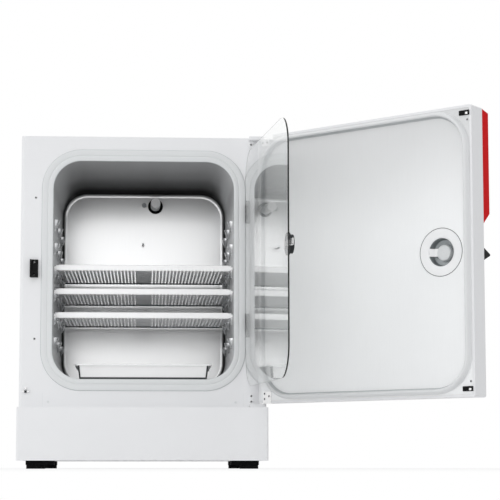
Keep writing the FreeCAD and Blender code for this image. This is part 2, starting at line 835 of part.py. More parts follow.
def hood(side, y0, y1, top):
    """A pressed support on a side wall, flat on top and drawn in towards its toe."""
    wall = "%d * chamber_half" % side
    inner = "%d * (chamber_half - support_reach)" % side
    toe = "%d * (chamber_half - support_toe)" % side
    over = (wall, inner) if side < 0 else (inner, wall)
    under = (wall, toe) if side < 0 else (toe, wall)
    draft = "support_length * 0.3"
    body = wedge(
        (over[0], over[1], y0, y1),
        (under[0], under[1], "%s + %s" % (y0, draft), "%s - %s" % (y1, draft)),
        "-(%s)" % top, "-(%s - support_height)" % top,
    )
    body.Placement = FreeCAD.Placement(FreeCAD.Vector(), FreeCAD.Rotation(FreeCAD.Vector(1, 0, 0), -90))
    return body


levels = [-3, -2, -1, 0, 1, 2]
columns = ["shelf_depth * 0.12", "shelf_depth * 0.5", "shelf_depth * 0.88"]
supports = []
for level in levels:
    top = "shelf_top + %d * shelf_pitch - shelf_sheet" % level
    for column in columns:
        y0 = "shelf_front + %s - support_length / 2" % column
        y1 = "shelf_front + %s + support_length / 2" % column
        for side in (-1, 1):
            supports.append(hood(side, y0, y1, top))
finish(group(supports), "shelf_supports")

# Outer hinge, cabinet side
arm_bore = "bushing_radius + seam"
arms = []
bushings = []
for z0, z1, p0, p1, points in (
    ("lower_arm_foot", "lower_arm_top", "lower_arm_foot", "base_top + lower_plate_height",
     bracket_points[:2]),
    ("upper_arm_foot", "upper_arm_top", "overall_height - upper_plate_height", "upper_arm_top",
     bracket_points[2:]),
):
    arms.append(cut(
        join([
            block("bracket_left", "bracket_left + bracket_width", "front_y - bracket_plate", "front_y", p0,
                  p1),
            block("bracket_left", "hinge_x", "hinge_y - arm_radius", "front_y", z0, z1),
            rod("z", "arm_radius", "hinge_x", "hinge_y", z0, z1),
        ]),
        [rod("z", arm_bore, "hinge_x", "hinge_y", "%s - plate" % z0, "%s + plate" % z1)]
        + drills(points, "front_y - 2 * bracket_plate", "front_y + plate"),
    ))
    bushings.append(cut(
        rod("z", "bushing_radius", "hinge_x", "hinge_y", z0, z1),
        [rod("z", "hinge_pin_radius + bearing_play", "hinge_x", "hinge_y", "%s - plate" % z0,
             "%s + plate" % z1)],
    ))
finish(group(arms), "outer_hinge_brackets")
finish(group(bushings), "outer_hinge_bushings")

# Glass door's hinge, cabinet side
glass_brackets = []
glass_pins = []
for centre, up in (("hinge_upper", 1), ("hinge_lower", -1)):
    low = "%s - knuckle_length / 2" % centre
    high = "%s + knuckle_length / 2" % centre
    spread = {1: ("%s - ear_height" % low, "%s + ear_height + ear_tab" % high),
              -1: ("%s - ear_height - ear_tab" % low, "%s + ear_height" % high)}[up]
    solids = [block("glass_axis + 1", "glass_axis + ear_reach", "front_y - clamp_sheet", "front_y", *spread)]
    for z0, z1 in (("%s - ear_height" % low, low), (high, "%s + ear_height" % high)):
        solids.append(block("glass_axis", "glass_axis + knuckle_radius", "glass_axis_y", "front_y - plate",
                            z0, z1))
        solids.append(rod("z", "knuckle_radius", "glass_axis", "glass_axis_y", z0, z1))
        solids.append(block("glass_axis + knuckle_radius / 2", "glass_axis + ear_reach",
                            "glass_axis_y + 1", "front_y - plate", z0, z1))
    hole = rod("z", "glass_pin_radius + bearing_play", "glass_axis", "glass_axis_y",
               "%s - 2 * ear_height" % low, "%s + 2 * ear_height" % high)
    point = glass_points[0 if up > 0 else 1]
    glass_brackets.append(cut(join(solids),
                              [hole] + drills([point], "front_y - 2 * plate", "front_y + plate")))
    glass_pins.append(rod("z", "glass_pin_radius", "glass_axis", "glass_axis_y",
                          "%s - ear_height" % low, "%s + ear_height" % high))
finish(group(glass_brackets), "glass_hinge_brackets")
finish(group(glass_pins), "glass_hinge_pins")

# Strike
strike_floor = "tongue_back + play"
strike = cut(
    join([
        block("strike_left", "strike_right", strike_floor, "front_y", "strike_foot",
              "strike_foot + strike_height"),
        block("strike_left", "strike_left + strike_wall", "strike_front", "front_y",
              "strike_foot", "strike_foot + strike_height"),
        block("strike_left", "strike_right - 1", "strike_front", "tongue_front - play",
              "strike_foot", "strike_foot + strike_height * 0.34"),
    ]),
    [rod("y", "screw_radius + bearing_play", x, z, "strike_front - plate", "front_y + plate") for x,
     z in strike_points]
    + [rod("y", "screw_head_radius + seam", x, z, "strike_front - plate",
           "%s + screw_head + play" % strike_floor)
       for x, z in strike_points],
)
finish(strike, "glass_latch_strike")

fitting_screws = (
    screws(bracket_points, "(front_y - bracket_plate)", "frame_back")
    + screws(glass_points, "(front_y - clamp_sheet)", "frame_back")
    + screws(strike_points, "(%s + screw_head + play)" % strike_floor, "frame_back")
)
finish(group(fitting_screws), "front_fitting_screws")

# Rear fittings of the chamber
port = cut(
    join([
        rod("y", "port_radius + port_wall", "port_x", "port_z", "rear_wall - port_collar",
            "base_back + port_collar"),
        rod("y", "port_radius + port_wall + port_flange", "port_x", "port_z", "base_back",
            "base_back + port_collar"),
    ]),
    [rod("y", "port_radius", "port_x", "port_z", "rear_wall - 2 * port_collar",
         "base_back + 2 * port_collar")],
)
finish(port, "access_port_tube")
stopper_seat = "base_back + port_collar"
finish(join([
    rod("y", "port_radius - play", "port_x", "port_z", "rear_wall - stopper_nose", stopper_seat),
    rod("y", "port_radius + stopper_lip", "port_x", "port_z", stopper_seat,
        "%s + stopper_head" % stopper_seat),
]), "access_port_stopper")
finish(join([
    rod("y", "sensor_radius", "0", "sensor_z", "rear_wall - sensor_reach", "foam_back + sensor_tip"),
    rod("y", "sensor_radius - plate", "0", "sensor_z", "rear_wall - sensor_reach - sensor_tip",
        "rear_wall - sensor_reach"),
    block("sensor_reach - sensor_box_width", "sensor_reach", "foam_back", "foam_back + sensor_box_depth",
          "sensor_z - sensor_box_height / 2", "sensor_z + sensor_box_height / 2"),
]), "chamber_sensor")
finish(join([
    rod("y", "nozzle_radius", "-nozzle_x", "nozzle_z", "rear_wall - nozzle_reach", "foam_back"),
    rod("y", "nozzle_radius + nozzle_nut", "-nozzle_x", "nozzle_z", "foam_back", "foam_back + nozzle_nut"),
]), "gas_nozzle")
elbow = "(tube_radius + 1)"
elbow_z = ("nozzle_z - " + elbow, "nozzle_z + " + elbow)
finish(join([
    rod("z", "tube_radius", "gas_x", "tube_y", "valve_top + valve_neck", "nozzle_z"),
    block("gas_x - " + elbow, "gas_x + " + elbow, "tube_y - " + elbow, "tube_y + " + elbow, *elbow_z),
    rod("x", "tube_radius", "tube_y", "nozzle_z", "-nozzle_x", "gas_x"),
    block("-nozzle_x - " + elbow, "-nozzle_x + " + elbow, "foam_back + nozzle_nut", "tube_y + " + elbow,
          *elbow_z),
]), "gas_tube")

# Gas path
barb_start = "base_back + gas_fitting_out"
barb_end = "%s + gas_barb" % barb_start
finish(cut(
    join([
        rod("y", "gas_fitting_radius", "gas_x", "gas_z", "base_back - gas_fitting_in", barb_start),
        rod("y", "gas_nut_radius", "gas_x", "gas_z", "base_back", "base_back + gas_nut"),
        rod("y", "gas_barb_radius", "gas_x", "gas_z", barb_start, barb_end),
    ]),
    [rod("y", "gas_bore_radius", "gas_x", "gas_z", "base_back - gas_fitting_in - plate",
         "%s + plate" % barb_end)],
), "gas_inlet_fitting")
finish(join([
    block("gas_x - valve_half_width", "gas_x + valve_half_width", "valve_front", "valve_front + valve_depth",
          "base_floor", "valve_top"),
    rod("z", "gas_nut_radius", "gas_x", "tube_y", "valve_top", "valve_top + valve_neck"),
]), "gas_valve")
finish(join([
    rod("z", "filter_radius", "gas_x", "base_back - filter_setback", "base_floor", "gas_z + filter_rise"),
    rod("y", "tube_radius", "gas_x", "gas_z", "base_back - filter_setback", "valve_front"),
]), "gas_filter")

# Electrics in the base
finish(join([
    block("supply_left", "supply_right", "-supply_front", "supply_back", "base_floor",
          "base_floor + supply_flange"),
    block("supply_left + supply_lip", "supply_right - supply_lip", "supply_lip - supply_front",
          "supply_back - supply_lip",
          "base_floor + supply_flange", "base_floor + supply_height"),
]), "power_supply")
board = [block("-board_left", "board_width - board_left", "board_back - board_depth", "board_back",
               "board_foot", "board_top")]
for x in ("standoff_inset - board_left", "board_width - board_left - standoff_inset - standoff_width"):
    for y in ("board_back - board_depth + standoff_inset", "board_back - standoff_inset - standoff_width"):
        board.append(block(x, "%s + standoff_width" % x, y, "%s + standoff_width" % y, "base_floor",
                           "board_foot"))
for left, back, wide, deep, tall in BOARD_PARTS:
    x = "%d - board_left" % left
    rear = "board_back - %d" % back
    board.append(block(x, "%s + %d" % (x, wide), "%s - %d" % (rear, deep), rear, "board_top",
                       "board_top + %d" % tall))
finish(join(board), "control_board")

inlet = cut(
    join([
        block("-inlet_x - inlet_half_width + seam", "-inlet_x + inlet_half_width - seam",
              "base_back - inlet_body", "base_back",
              "inlet_z - inlet_half_height + seam", "inlet_z + inlet_half_height - seam"),
        block("-inlet_x - inlet_flange_half", "-inlet_x + inlet_flange_half", "base_back",
              "base_back + inlet_flange",
              "inlet_z - inlet_half_height - 2 * inlet_wall", "inlet_z + inlet_half_height + 2 * inlet_wall"),
    ]),
    [block("-inlet_x - inlet_half_width + inlet_wall", "-inlet_x + inlet_half_width - inlet_wall",
           "base_back - inlet_sink", "base_back + 2 * inlet_flange",
           "inlet_z - inlet_half_height + inlet_wall + play",
           "inlet_z + inlet_half_height - inlet_wall - play")],
)
finish(inlet, "power_inlet")
finish(group([
    block("-inlet_x + %d * pin_spread - 1" % across, "-inlet_x + %d * pin_spread + 1" % across,
          "base_back - inlet_sink", "base_back - inlet_flange", "inlet_z + %d - 2" % up,
          "inlet_z + %d + 2" % up)
    for across, up in ((-1, -2), (1, -2), (0, 3))
]), "power_inlet_pins")
switch_frame = cut(
    join([
        block("-switch_x - switch_half_width + seam", "-switch_x + switch_half_width - seam",
              "base_back - switch_body", "base_back",
              "inlet_z - inlet_half_height + seam", "inlet_z + inlet_half_height - seam"),
        block("-switch_x - switch_half_width - switch_rim", "-switch_x + switch_half_width + switch_rim",
              "base_back", "base_back + plate",
              "inlet_z - inlet_half_height - switch_rim", "inlet_z + inlet_half_height + switch_rim"),
    ]),
    [
        block("-switch_x - switch_half_width + switch_wall", "-switch_x + switch_half_width - switch_wall",
              "base_back - switch_body + 4 * switch_wall", "base_back + 2 * plate",
              "inlet_z - rocker_half_height - switch_wall", "inlet_z + rocker_half_height + switch_wall"),
        rod("x", "rocker_pin_radius + bearing_play", "rocker_y", "inlet_z", "-switch_x - rocker_end - play",
            "-switch_x + rocker_end + play"),
    ],
)
finish(switch_frame, "main_switch_frame")
rocker = join([
    rod("x", "rocker_radius", "rocker_y", "inlet_z", "-switch_x - rocker_half", "-switch_x + rocker_half"),
    rod("x", "rocker_pin_radius", "rocker_y", "inlet_z", "-switch_x - rocker_end", "-switch_x + rocker_end"),
    block("-switch_x - rocker_half", "-switch_x + rocker_half", "rocker_y - 1", "base_back + rocker_stand",
          "inlet_z - rocker_half_height", "inlet_z + rocker_half_height"),
])
tilt(rocker, "rocker_y", "inlet_z", "rocker_tilt")
finish(rocker, "main_switch_rocker")

# Outer door
door_middle = ("door_centre", "door_mid")
shell = slab(door_middle, ("door_wide", "door_tall", "door_edge_radius"), "door_outer", "door_inner")
hollow(shell, door_middle,
       ("door_wide - 2 * door_return", "door_tall - 2 * door_return", "door_edge_radius"),
       "door_back_face", "door_inner")
hollow(shell, door_middle, ("door_wide - 2 * plate", "door_tall - 2 * plate", "door_edge_radius - plate"),
       "door_outer + plate", "door_back_face")
notch_walls = block("notch_left - plate", "door_right", "door_outer", "door_inner", "notch_foot - plate",
                    "notch_foot")
notch_side = block("notch_left - plate", "notch_left", "door_outer", "door_inner", "notch_foot - plate",
                   "overall_height")
notch_space = block("notch_left", "door_right + plate", "door_outer - plate", "door_inner + plate",
                    "notch_foot", "overall_height + plate")
finish(cut(join([shell, notch_walls, notch_side]), [notch_space]), "outer_door_shell", "outer")

inner = slab(door_middle,
             ("door_wide - 2 * door_return - 2 * seam", "door_tall - 2 * door_return - 2 * seam",
              "door_edge_radius - seam"),
             "door_back_face", "door_inner")
near_x = "hinge_x - leg_screw_near"
far_x = "hinge_x - leg_screw_far"
plate_points = [
    (near_x, "door_foot + leg_screw_rise + 2 * leg_screw_step"),
    (far_x, "door_foot + leg_screw_rise + leg_screw_step"),
    (near_x, "door_foot + leg_screw_rise"),
]
upper_points = [(x, "notch_foot - hinge_leg_short / 2") for x in (near_x, far_x)]
catch_points = [
    ("door_left + catch_screw_inset", z)
    for z in ("overall_height - catch_screw_margin", "door_foot + catch_screw_margin")
]
door_points = plate_points + upper_points + catch_points
panel_skin = ("door_back_face - plate", "door_inner + plate")
inner_plate = cut(inner, [
    block("notch_left - plate - seam", "half_width", *panel_skin, "notch_foot - plate - seam",
          "overall_height"),
    rod("y", "cup_radius + seam", "cup_x", "cup_z", *panel_skin),
] + drills(door_points, *panel_skin))
finish(inner_plate, "outer_door_inner_panel", "outer")

catch_left = "door_left + catch_inset"
finish(group([
    block(catch_left, "%s + catch_length" % catch_left, "door_inner", "door_inner + catch_height",
          foot, "%s + catch_width" % foot)
    for foot in ("overall_height - catch_margin - catch_width", "door_foot + catch_margin")
]), "outer_door_corner_catches", "outer")

# Angle plates with the hinge pins: one leg on the inner panel, one across the door's end
hinge_plates = []
for points, z0, z1, leg0, leg1, pin0, pin1 in (
    (plate_points, "door_foot - plate", "door_foot + hinge_leg_height", "door_foot - plate", "door_foot",
     "lower_arm_foot", "door_foot - plate"),
    (upper_points, "notch_foot - hinge_leg_short", "notch_foot + plate", "notch_foot", "notch_foot + plate",
     "notch_foot + plate", "upper_arm_top"),
):
    hinge_plates.append(cut(
        join([
            block("hinge_x - hinge_leg_reach", "hinge_x - hinge_leg_gap", "door_inner",
                  "door_inner + plate", z0, z1),
            block("hinge_x - hinge_leg_reach", "hinge_x + hinge_pin_radius + plate",
                  "hinge_y - arm_radius", "door_inner + plate", leg0, leg1),
            rod("z", "hinge_pin_radius", "hinge_x", "hinge_y", pin0, pin1),
        ]),
        drills(points, "door_inner - plate", "door_inner + 2 * plate"),
    ))
finish(group(hinge_plates), "outer_door_hinge_plates", "outer")
finish(group(
    screws(plate_points + upper_points, "(door_inner + plate)", "door_back_face", False)
    + screws(catch_points, "door_inner", "door_back_face", False)
), "outer_door_screws", "outer")

gasket = slab(door_middle, ("door_wide - 2 * gasket_inset", "door_tall - 2 * gasket_inset", "gasket_radius"),
              "door_inner", "front_y - play")
hollow(gasket, door_middle,
       ("door_wide - 2 * gasket_inset - 2 * gasket_width", "door_tall - 2 * gasket_inset - 2 * gasket_width",
        "gasket_radius - gasket_width"),
       "door_inner", "front_y - play")
finish(gasket, "outer_door_gasket", "outer")

cup_back = "door_inner - recess_depth"
cup = join([
    cut(
        join([
            rod("y", "cup_radius", "cup_x", "cup_z", "door_inner - cup_flange", "door_inner"),
            rod("y", "recess_radius + recess_wall", "cup_x", "cup_z", "%s - recess_wall" % cup_back,
                "door_inner"),
        ]),
        [rod("y", "recess_radius", "cup_x", "cup_z", cup_back, "door_inner + plate")],
    ),
    rod("y", "boss_radius", "cup_x", "cup_z", cup_back, "door_inner - boss_sink"),
    block("cup_x", "cup_x + recess_radius + 1", cup_back, "door_inner - boss_sink",
          "cup_z - web_width / 2", "cup_z + web_width / 2"),
])
finish(cup, "outer_door_latch_cup", "outer")

door_foam = cut(
    slab(door_middle, ("door_wide - 2 * plate - 2 * play", "door_tall - 2 * plate - 2 * play",
                       "door_edge_radius"),
         "door_outer + plate", "door_back_face - heater_sheet"),
    [
        block("notch_left - plate - play", "half_width", "door_outer", "door_inner",
              "notch_foot - plate - play", "overall_height"),
        rod("y", "recess_radius + recess_wall + play", "cup_x", "cup_z",
            "%s - recess_wall - play" % cup_back, "door_inner"),
        rod("y", "cup_radius + play", "cup_x", "cup_z", "door_inner - cup_flange - play", "door_inner"),
    ],
)
finish(door_foam, "outer_door_insulation", "outer")
finish(group([
    block("-chamber_half + heater_margin", "chamber_half - heater_margin",
          "door_back_face - heater_sheet", "door_back_face",
          "cup_z + cup_radius + heater_margin / 2", "chamber_roof - heater_margin / 2"),
]), "outer_door_heating_mat", "outer")

# Control panel
panel_shape = wedge(
    ("panel_left + panel_draft", "panel_right - panel_draft", "panel_face_foot", "panel_face_top"),
    ("panel_left", "panel_right", "panel_foot", "panel_top"),
    "panel_face", "door_outer",
)
panel_space = wedge(
    ("panel_left + panel_draft + panel_wall", "panel_right - panel_draft - panel_wall",
     "panel_face_foot + panel_wall", "panel_face_top - panel_wall"),
    ("panel_left + panel_wall", "panel_right - panel_wall", "panel_foot + 3 * panel_wall",
     "panel_top - panel_wall"),
    "panel_face + panel_wall", "door_outer",
)


def display_block(inset, y0, y1):
    """A box behind the display's window, smaller by inset on its four sides."""
    across = "(display_width / 2 - %s)" % inset
    up = "(display_height / 2 - %s)" % inset
    return block("panel_mid - " + across, "panel_mid + " + across, y0, y1, "display_mid - " + up,
                 "display_mid + " + up)


keys = [("back", "panel_mid - key_pitch"), ("menu", "panel_mid"), ("standby", "panel_mid + key_pitch")]
window = display_block("0", "panel_face - plate", "panel_face + display_thick + display_sink")
panel_housing = cut(panel_shape, [panel_space, window] + [
    rod("y", "key_radius + play", x, "key_row", "panel_face - plate",
        "panel_face + 2 * panel_wall") for name, x in keys
])
finish(panel_housing, "control_panel_housing", "outer")
finish(join([
    display_block("seam", "panel_face + display_sink", "panel_face + display_thick"),
    display_block("display_rim", "panel_face + display_thick", "door_outer"),
]), "control_panel_display", "outer")
flange_front = "panel_face + panel_wall + play"
for name, x in keys:
    key = join([
        rod("y", "key_radius", x, "key_row", "panel_face - key_stand", flange_front),
        rod("y", "key_radius + key_flange", x, "key_row", flange_front,
            "%s + key_flange - play" % flange_front),
    ])
    finish(key, "panel_key_" + name, "outer")

handle_right = "panel_left + handle_length"
handle = cut(
    wedge(
        ("panel_left + handle_draft", "%s - handle_draft" % handle_right,
         "handle_centre - handle_tip / 2", "handle_centre + handle_tip / 2"),
        ("panel_left", handle_right, "handle_centre - handle_height / 2",
         "handle_centre + handle_height / 2"),
        "door_outer - handle_stand", "door_outer",
    ),
    [block("panel_left + grip_margin", "%s - grip_margin" % handle_right,
           "door_outer - handle_stand * 0.6", "door_outer - grip_wall", "handle_centre - handle_height",
           "handle_centre - 1")],
)
finish(handle, "outer_door_handle", "outer")

# Glass door
pane = cut(
    slab(("glass_mid_x", "glass_mid_z"), ("glass_width", "glass_height", "glass_radius"), "glass_outer",
         "glass_inner"),
    [rod("y", "spindle_radius + 1 + bearing_play", "cup_x", "latch_height",
         "glass_outer - plate", "glass_inner + plate")],
)
finish(pane, "glass_pane", "glass")
knuckles = []
for centre in ("hinge_upper", "hinge_lower"):
    z0 = "%s - knuckle_length / 2 + play" % centre
    z1 = "%s + knuckle_length / 2 - play" % centre
    knuckles.append(cut(
        join([
            rod("z", "knuckle_radius", "glass_axis", "glass_axis_y", z0, z1),
            block("glass_axis - clamp_reach", "glass_axis", "glass_outer - clamp_sheet", "glass_outer", z0,
                  z1),
        ]),
        [rod("z", "glass_pin_radius + bearing_play", "glass_axis", "glass_axis_y",
             "%s - plate" % z0, "%s + plate" % z1)],
    ))
finish(group(knuckles), "glass_hinge_knuckles", "glass")
spindle = join([
    rod("y", "spindle_radius + 1", "cup_x", "latch_height", "tongue_back", "glass_inner"),
    rod("y", "spindle_radius", "cup_x", "latch_height", "knob_front + spindle_flange", "tongue_back"),
    rod("y", "spindle_radius + spindle_flange", "cup_x", "latch_height",
        "knob_front + 1", "knob_front + spindle_flange"),
])
finish(spindle, "glass_latch_spindle", "glass")
tongue = cut(
    block("strike_left + strike_wall + 5 * play", "cup_x + tongue_height / 2 + 8 * play", "tongue_front",
          "tongue_back",
          "latch_height - tongue_height / 2", "latch_height + tongue_height / 2"),
    [rod("y", "spindle_radius + bearing_play", "cup_x", "latch_height", "tongue_front - plate",
         "tongue_back + plate")],
)
finish(tongue, "glass_latch_tongue", "glass")
knob = cut(
    join([
        rod("y", "knob_disc_radius", "cup_x", "latch_height", "disc_front", "tongue_front"),
        rod("y", "knob_radius", "cup_x", "latch_height", "knob_front", "disc_front"),
    ]),
    [
        rod("y", "spindle_radius + bearing_play", "cup_x", "latch_height", "knob_front - plate",
            "tongue_front + plate"),
        rod("y", "spindle_radius + spindle_flange + play", "cup_x", "latch_height",
            "knob_front - plate", "knob_front + spindle_flange + seam"),
    ],
)
finish(knob, "glass_latch_knob", "glass")

# Shelves
slot_rows = [0.13, 0.38, 0.63, 0.88]
slot_columns = [i for i in range(-10, 11) if abs(i) > 1]
for name, level in (("upper", 0), ("middle", 1), ("lower", 2)):
    top = "(shelf_top - %d * shelf_pitch)" % level
    tray = join([
        block("-shelf_half", "shelf_half", "shelf_front", "shelf_front + shelf_depth",
              "%s - shelf_sheet" % top, top),
        block("-shelf_half", "shelf_half", "shelf_front", "shelf_front + shelf_bar_depth",
              "%s - shelf_bar" % top, top),
    ])
    holes = []
    for column in slot_columns:
        for share in slot_rows:
            middle = "shelf_front + shelf_depth * %g" % share
            x = "%d * shelf_half / 12" % column
            holes.append(block("%s - shelf_slot_width / 2" % x, "%s + shelf_slot_width / 2" % x,
                               "%s - shelf_slot_length / 2" % middle, "%s + shelf_slot_length / 2" % middle,
                               "%s - 3 * shelf_sheet" % top, "%s + plate" % top))
    finish(cut(tray, holes), "shelf_" + name)

# Water pan
def pan_block(inset, foot, rise):
    """The pan's tapered block, drawn inward by inset, from foot up to rise."""
    taper = "(pan_width - pan_floor_width)"
    low = "pan_floor_width / 2 - %s" % inset
    high = "pan_width / 2 - %s" % inset
    front = "pan_front + pan_rim + %s" % inset
    back = "pan_front + pan_rim + pan_depth - %s" % inset
    body = wedge(
        ("-(%s)" % low, low, "-(%s - %s / 2)" % (back, taper), "-(%s + %s / 2)" % (front, taper)),
        ("-(%s)" % high, high, "-(%s)" % back, "-(%s)" % front),
        foot, rise,
    )
    body.Placement = FreeCAD.Placement(FreeCAD.Vector(), FreeCAD.Rotation(FreeCAD.Vector(1, 0, 0), 90))
    return body


pan_top = "chamber_floor + pan_height"
rim = block("-pan_width / 2 - pan_rim", "pan_width / 2 + pan_rim",
            "pan_front", "pan_front + pan_depth + 2 * pan_rim",
            "%s - pan_sheet" % pan_top, pan_top)
pan_foot = "chamber_floor + pan_lift"
pan = cut(join([pan_block("0", pan_foot, pan_top), rim]),
          [pan_block("pan_sheet", "%s + pan_sheet" % pan_foot, "%s + 0.01" % pan_top)])
finish(pan, "water_pan")

finish(group(screws(rear_points, "base_back", "base_back - sheet", False)), "rear_panel_screws")

doc.recompute()
for thing in doc.Objects:
    if "Invalid" in thing.State or "Error" in thing.State:
        raise RuntimeError("%s is in error" % thing.Name)
os.makedirs("parts", exist_ok=True)
for thing in FINISHED:
    if thing.Shape.isNull() or not thing.Shape.isValid() or not thing.Shape.Solids:
        raise RuntimeError("%s has no valid shape" % thing.Label)
    thing.Shape.exportStep("parts/%s.step" % thing.Label)
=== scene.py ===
import json
import math

import bpy
import bmesh
from mathutils import Matrix, Vector


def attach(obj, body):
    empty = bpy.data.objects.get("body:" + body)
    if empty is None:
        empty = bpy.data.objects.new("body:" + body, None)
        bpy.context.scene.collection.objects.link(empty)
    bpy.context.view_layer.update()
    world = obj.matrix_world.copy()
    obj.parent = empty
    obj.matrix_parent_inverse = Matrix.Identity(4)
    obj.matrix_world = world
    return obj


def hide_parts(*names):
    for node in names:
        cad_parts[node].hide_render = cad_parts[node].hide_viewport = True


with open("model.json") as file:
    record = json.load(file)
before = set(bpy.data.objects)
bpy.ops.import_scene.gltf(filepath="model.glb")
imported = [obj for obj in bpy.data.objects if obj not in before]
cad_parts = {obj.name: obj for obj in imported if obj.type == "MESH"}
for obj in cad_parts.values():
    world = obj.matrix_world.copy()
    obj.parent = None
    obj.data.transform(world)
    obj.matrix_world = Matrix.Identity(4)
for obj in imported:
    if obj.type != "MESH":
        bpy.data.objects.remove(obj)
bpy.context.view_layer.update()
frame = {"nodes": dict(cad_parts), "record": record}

# Lengths are in millimetres unless a line says otherwise. The doors are drawn closed and then swung open.
MM = 0.001
DOOR_ANGLE = math.radians(138.9)
GLASS_RATIO = 0.7
GLASS_ANGLE = DOOR_ANGLE * GLASS_RATIO
DOOR_AXIS = Vector((327.6, -307.6, 0)) * MM
GLASS_AXIS = Vector((284.6, -294.5, 0)) * MM
FRONT = -286.5
REAR_WALL = 253.5
DOOR_INNER = -302.5
SHELF_FRONT = -250.5
CUP_X, CUP_Z = -244.5, 549.0
BASE_TOP = 166.0
CHAMBER_HALF = 250.0
SHELF_DEPTH = 450
SHELF_TOPS = {"upper": 566.0, "middle": 499.5, "lower": 433.0}
LEVEL_PITCH = 66.5
PAN_MIDDLE = -31.5
SHARP_ANGLE = math.radians(40)


def about(axis, angle):
    """A turn about an upright axis."""
    return Matrix.Translation(axis) @ Matrix.Rotation(angle, 4, "Z") @ Matrix.Translation(-axis)


SWING = {
    None: Matrix(),
    "outer": about(DOOR_AXIS, DOOR_ANGLE),
    "glass": about(GLASS_AXIS, GLASS_ANGLE),
}


# Materials
def nodes_of(name):
    """A new material with its node tree and its shader."""
    material = bpy.data.materials.new(name)
    material.use_nodes = True
    tree = material.node_tree
    return material, tree, tree.nodes["Principled BSDF"]


def node(tree, kind, links=(), **values):
    """Add a node, set its properties and its inputs (in_Name), and link sources to its inputs."""
    made = tree.nodes.new(kind)
    for key, value in values.items():
        if key.startswith("in_"):
            made.inputs[key[3:].replace("_", " ")].default_value = value
        else:
            setattr(made, key, value)
    for socket, source in links:
        tree.links.new(source, made.inputs[socket])
    return made


def ramp(tree, source, stops):
    """A colour ramp from (place, colour) stops."""
    made = node(tree, "ShaderNodeValToRGB", [(0, source)])
    band = made.color_ramp
    while len(band.elements) < len(stops):
        band.elements.new(0.5)
    for element, (place, colour) in zip(band.elements, stops):
        element.position = place
        element.color = (*colour, 1)
    return made.outputs["Color"]


def grey_ramp(tree, source, stops):
    """A ramp of greys from (place, level) stops."""
    return ramp(tree, source, [(place, (level,) * 3) for place, level in stops])


def shade(colour, factor):
    """A colour made darker or lighter."""
    return tuple(min(1.0, c * factor) for c in colour)


def remap(tree, value, low, high, start, end):
    """Carry a value smoothly from one range to another."""
    made = node(tree, "ShaderNodeMapRange", [(0, value)], interpolation_type="SMOOTHSTEP")
    for socket, amount in (("From Min", low), ("From Max", high), ("To Min", start), ("To Max", end)):
        made.inputs[socket].default_value = amount
    return made.outputs[0]


def math_node(tree, operation, first, second=0.0):
    """An operation on two values, each a socket or a number."""
    links = [(i, value) for i, value in enumerate((first, second)) if not isinstance(value, float)]
    made = node(tree, "ShaderNodeMath", links, operation=operation)
    for i, value in enumerate((first, second)):
        if isinstance(value, float):
            made.inputs[i].default_value = value
    return made.outputs[0]


def between(tree, factor, first, second):
    """A value between two, by a factor."""
    made = node(tree, "ShaderNodeMix", [("Factor", factor)])
    for name, value in (("A", first), ("B", second)):
        if isinstance(value, float):
            made.inputs[name].default_value = value
        else:
            tree.links.new(value, made.inputs[name])
    return made.outputs["Result"]


def directly_seen(tree):
    """1 for camera, mirror and through-glass rays, 0 for the rays that light the object."""
    rays = tree.nodes.new("ShaderNodeLightPath")
    first = math_node(tree, "MAXIMUM", rays.outputs["Is Camera Ray"], rays.outputs["Is Glossy Ray"])
    return math_node(tree, "MAXIMUM", first, rays.outputs["Is Transmission Ray"])


def surface(name, colour, rough, grain, bump, vary, metal=0.0, stretch=(1, 1, 1), rough_vary=0.06,
            depth=0.0004, tone_by=None, dull=None, **sockets):
    """A surface with fine grain in its relief, and slow variation of colour and gloss.

    The shade function, if given, makes a factor of painted shade for its colour. dull is how metallic it
    stays where that factor is low."""
    material, tree, shader = nodes_of(name)
    where = node(tree, "ShaderNodeTexCoord")
    scaled = node(tree, "ShaderNodeMapping", [("Vector", where.outputs["Object"])])
    scaled.inputs["Scale"].default_value = stretch
    fine = node(tree, "ShaderNodeTexNoise", [("Vector", scaled.outputs[0])], in_Scale=grain, in_Detail=3.0)
    slow = node(tree, "ShaderNodeTexNoise", [("Vector", where.outputs["Object"])], in_Scale=5.0,
                in_Detail=2.0)
    both = math_node(tree, "ADD", fine.outputs["Fac"], slow.outputs["Fac"])
    half = math_node(tree, "MULTIPLY", both, 0.5)
    tone = ramp(tree, half, [(0.3, shade(colour, 1 - vary)), (0.7, shade(colour, 1 + vary))])
    shader.inputs["Metallic"].default_value = metal
    # Painted shade scales the colour here.
    if tone_by:
        factor = tone_by(tree, where)
        tone = node(tree, "ShaderNodeVectorMath", [(0, tone), ("Scale", factor)],
                    operation="SCALE").outputs[0]
        if dull is not None:
            tree.links.new(remap(tree, factor, 0.1, 0.75, dull, metal), shader.inputs["Metallic"])
    tree.links.new(tone, shader.inputs["Base Color"])
    spread = node(tree, "ShaderNodeMapRange", [(0, fine.outputs["Fac"])])
    spread.inputs["To Min"].default_value = max(0.02, rough - rough_vary)
    spread.inputs["To Max"].default_value = min(1.0, rough + rough_vary)
    tree.links.new(spread.outputs[0], shader.inputs["Roughness"])
    relief = node(tree, "ShaderNodeBump", [("Height", fine.outputs["Fac"])], in_Strength=bump,
                  in_Distance=depth)
    tree.links.new(relief.outputs[0], shader.inputs["Normal"])
    for socket, value in sockets.items():
        shader.inputs[socket.replace("_", " ")].default_value = value
    return material


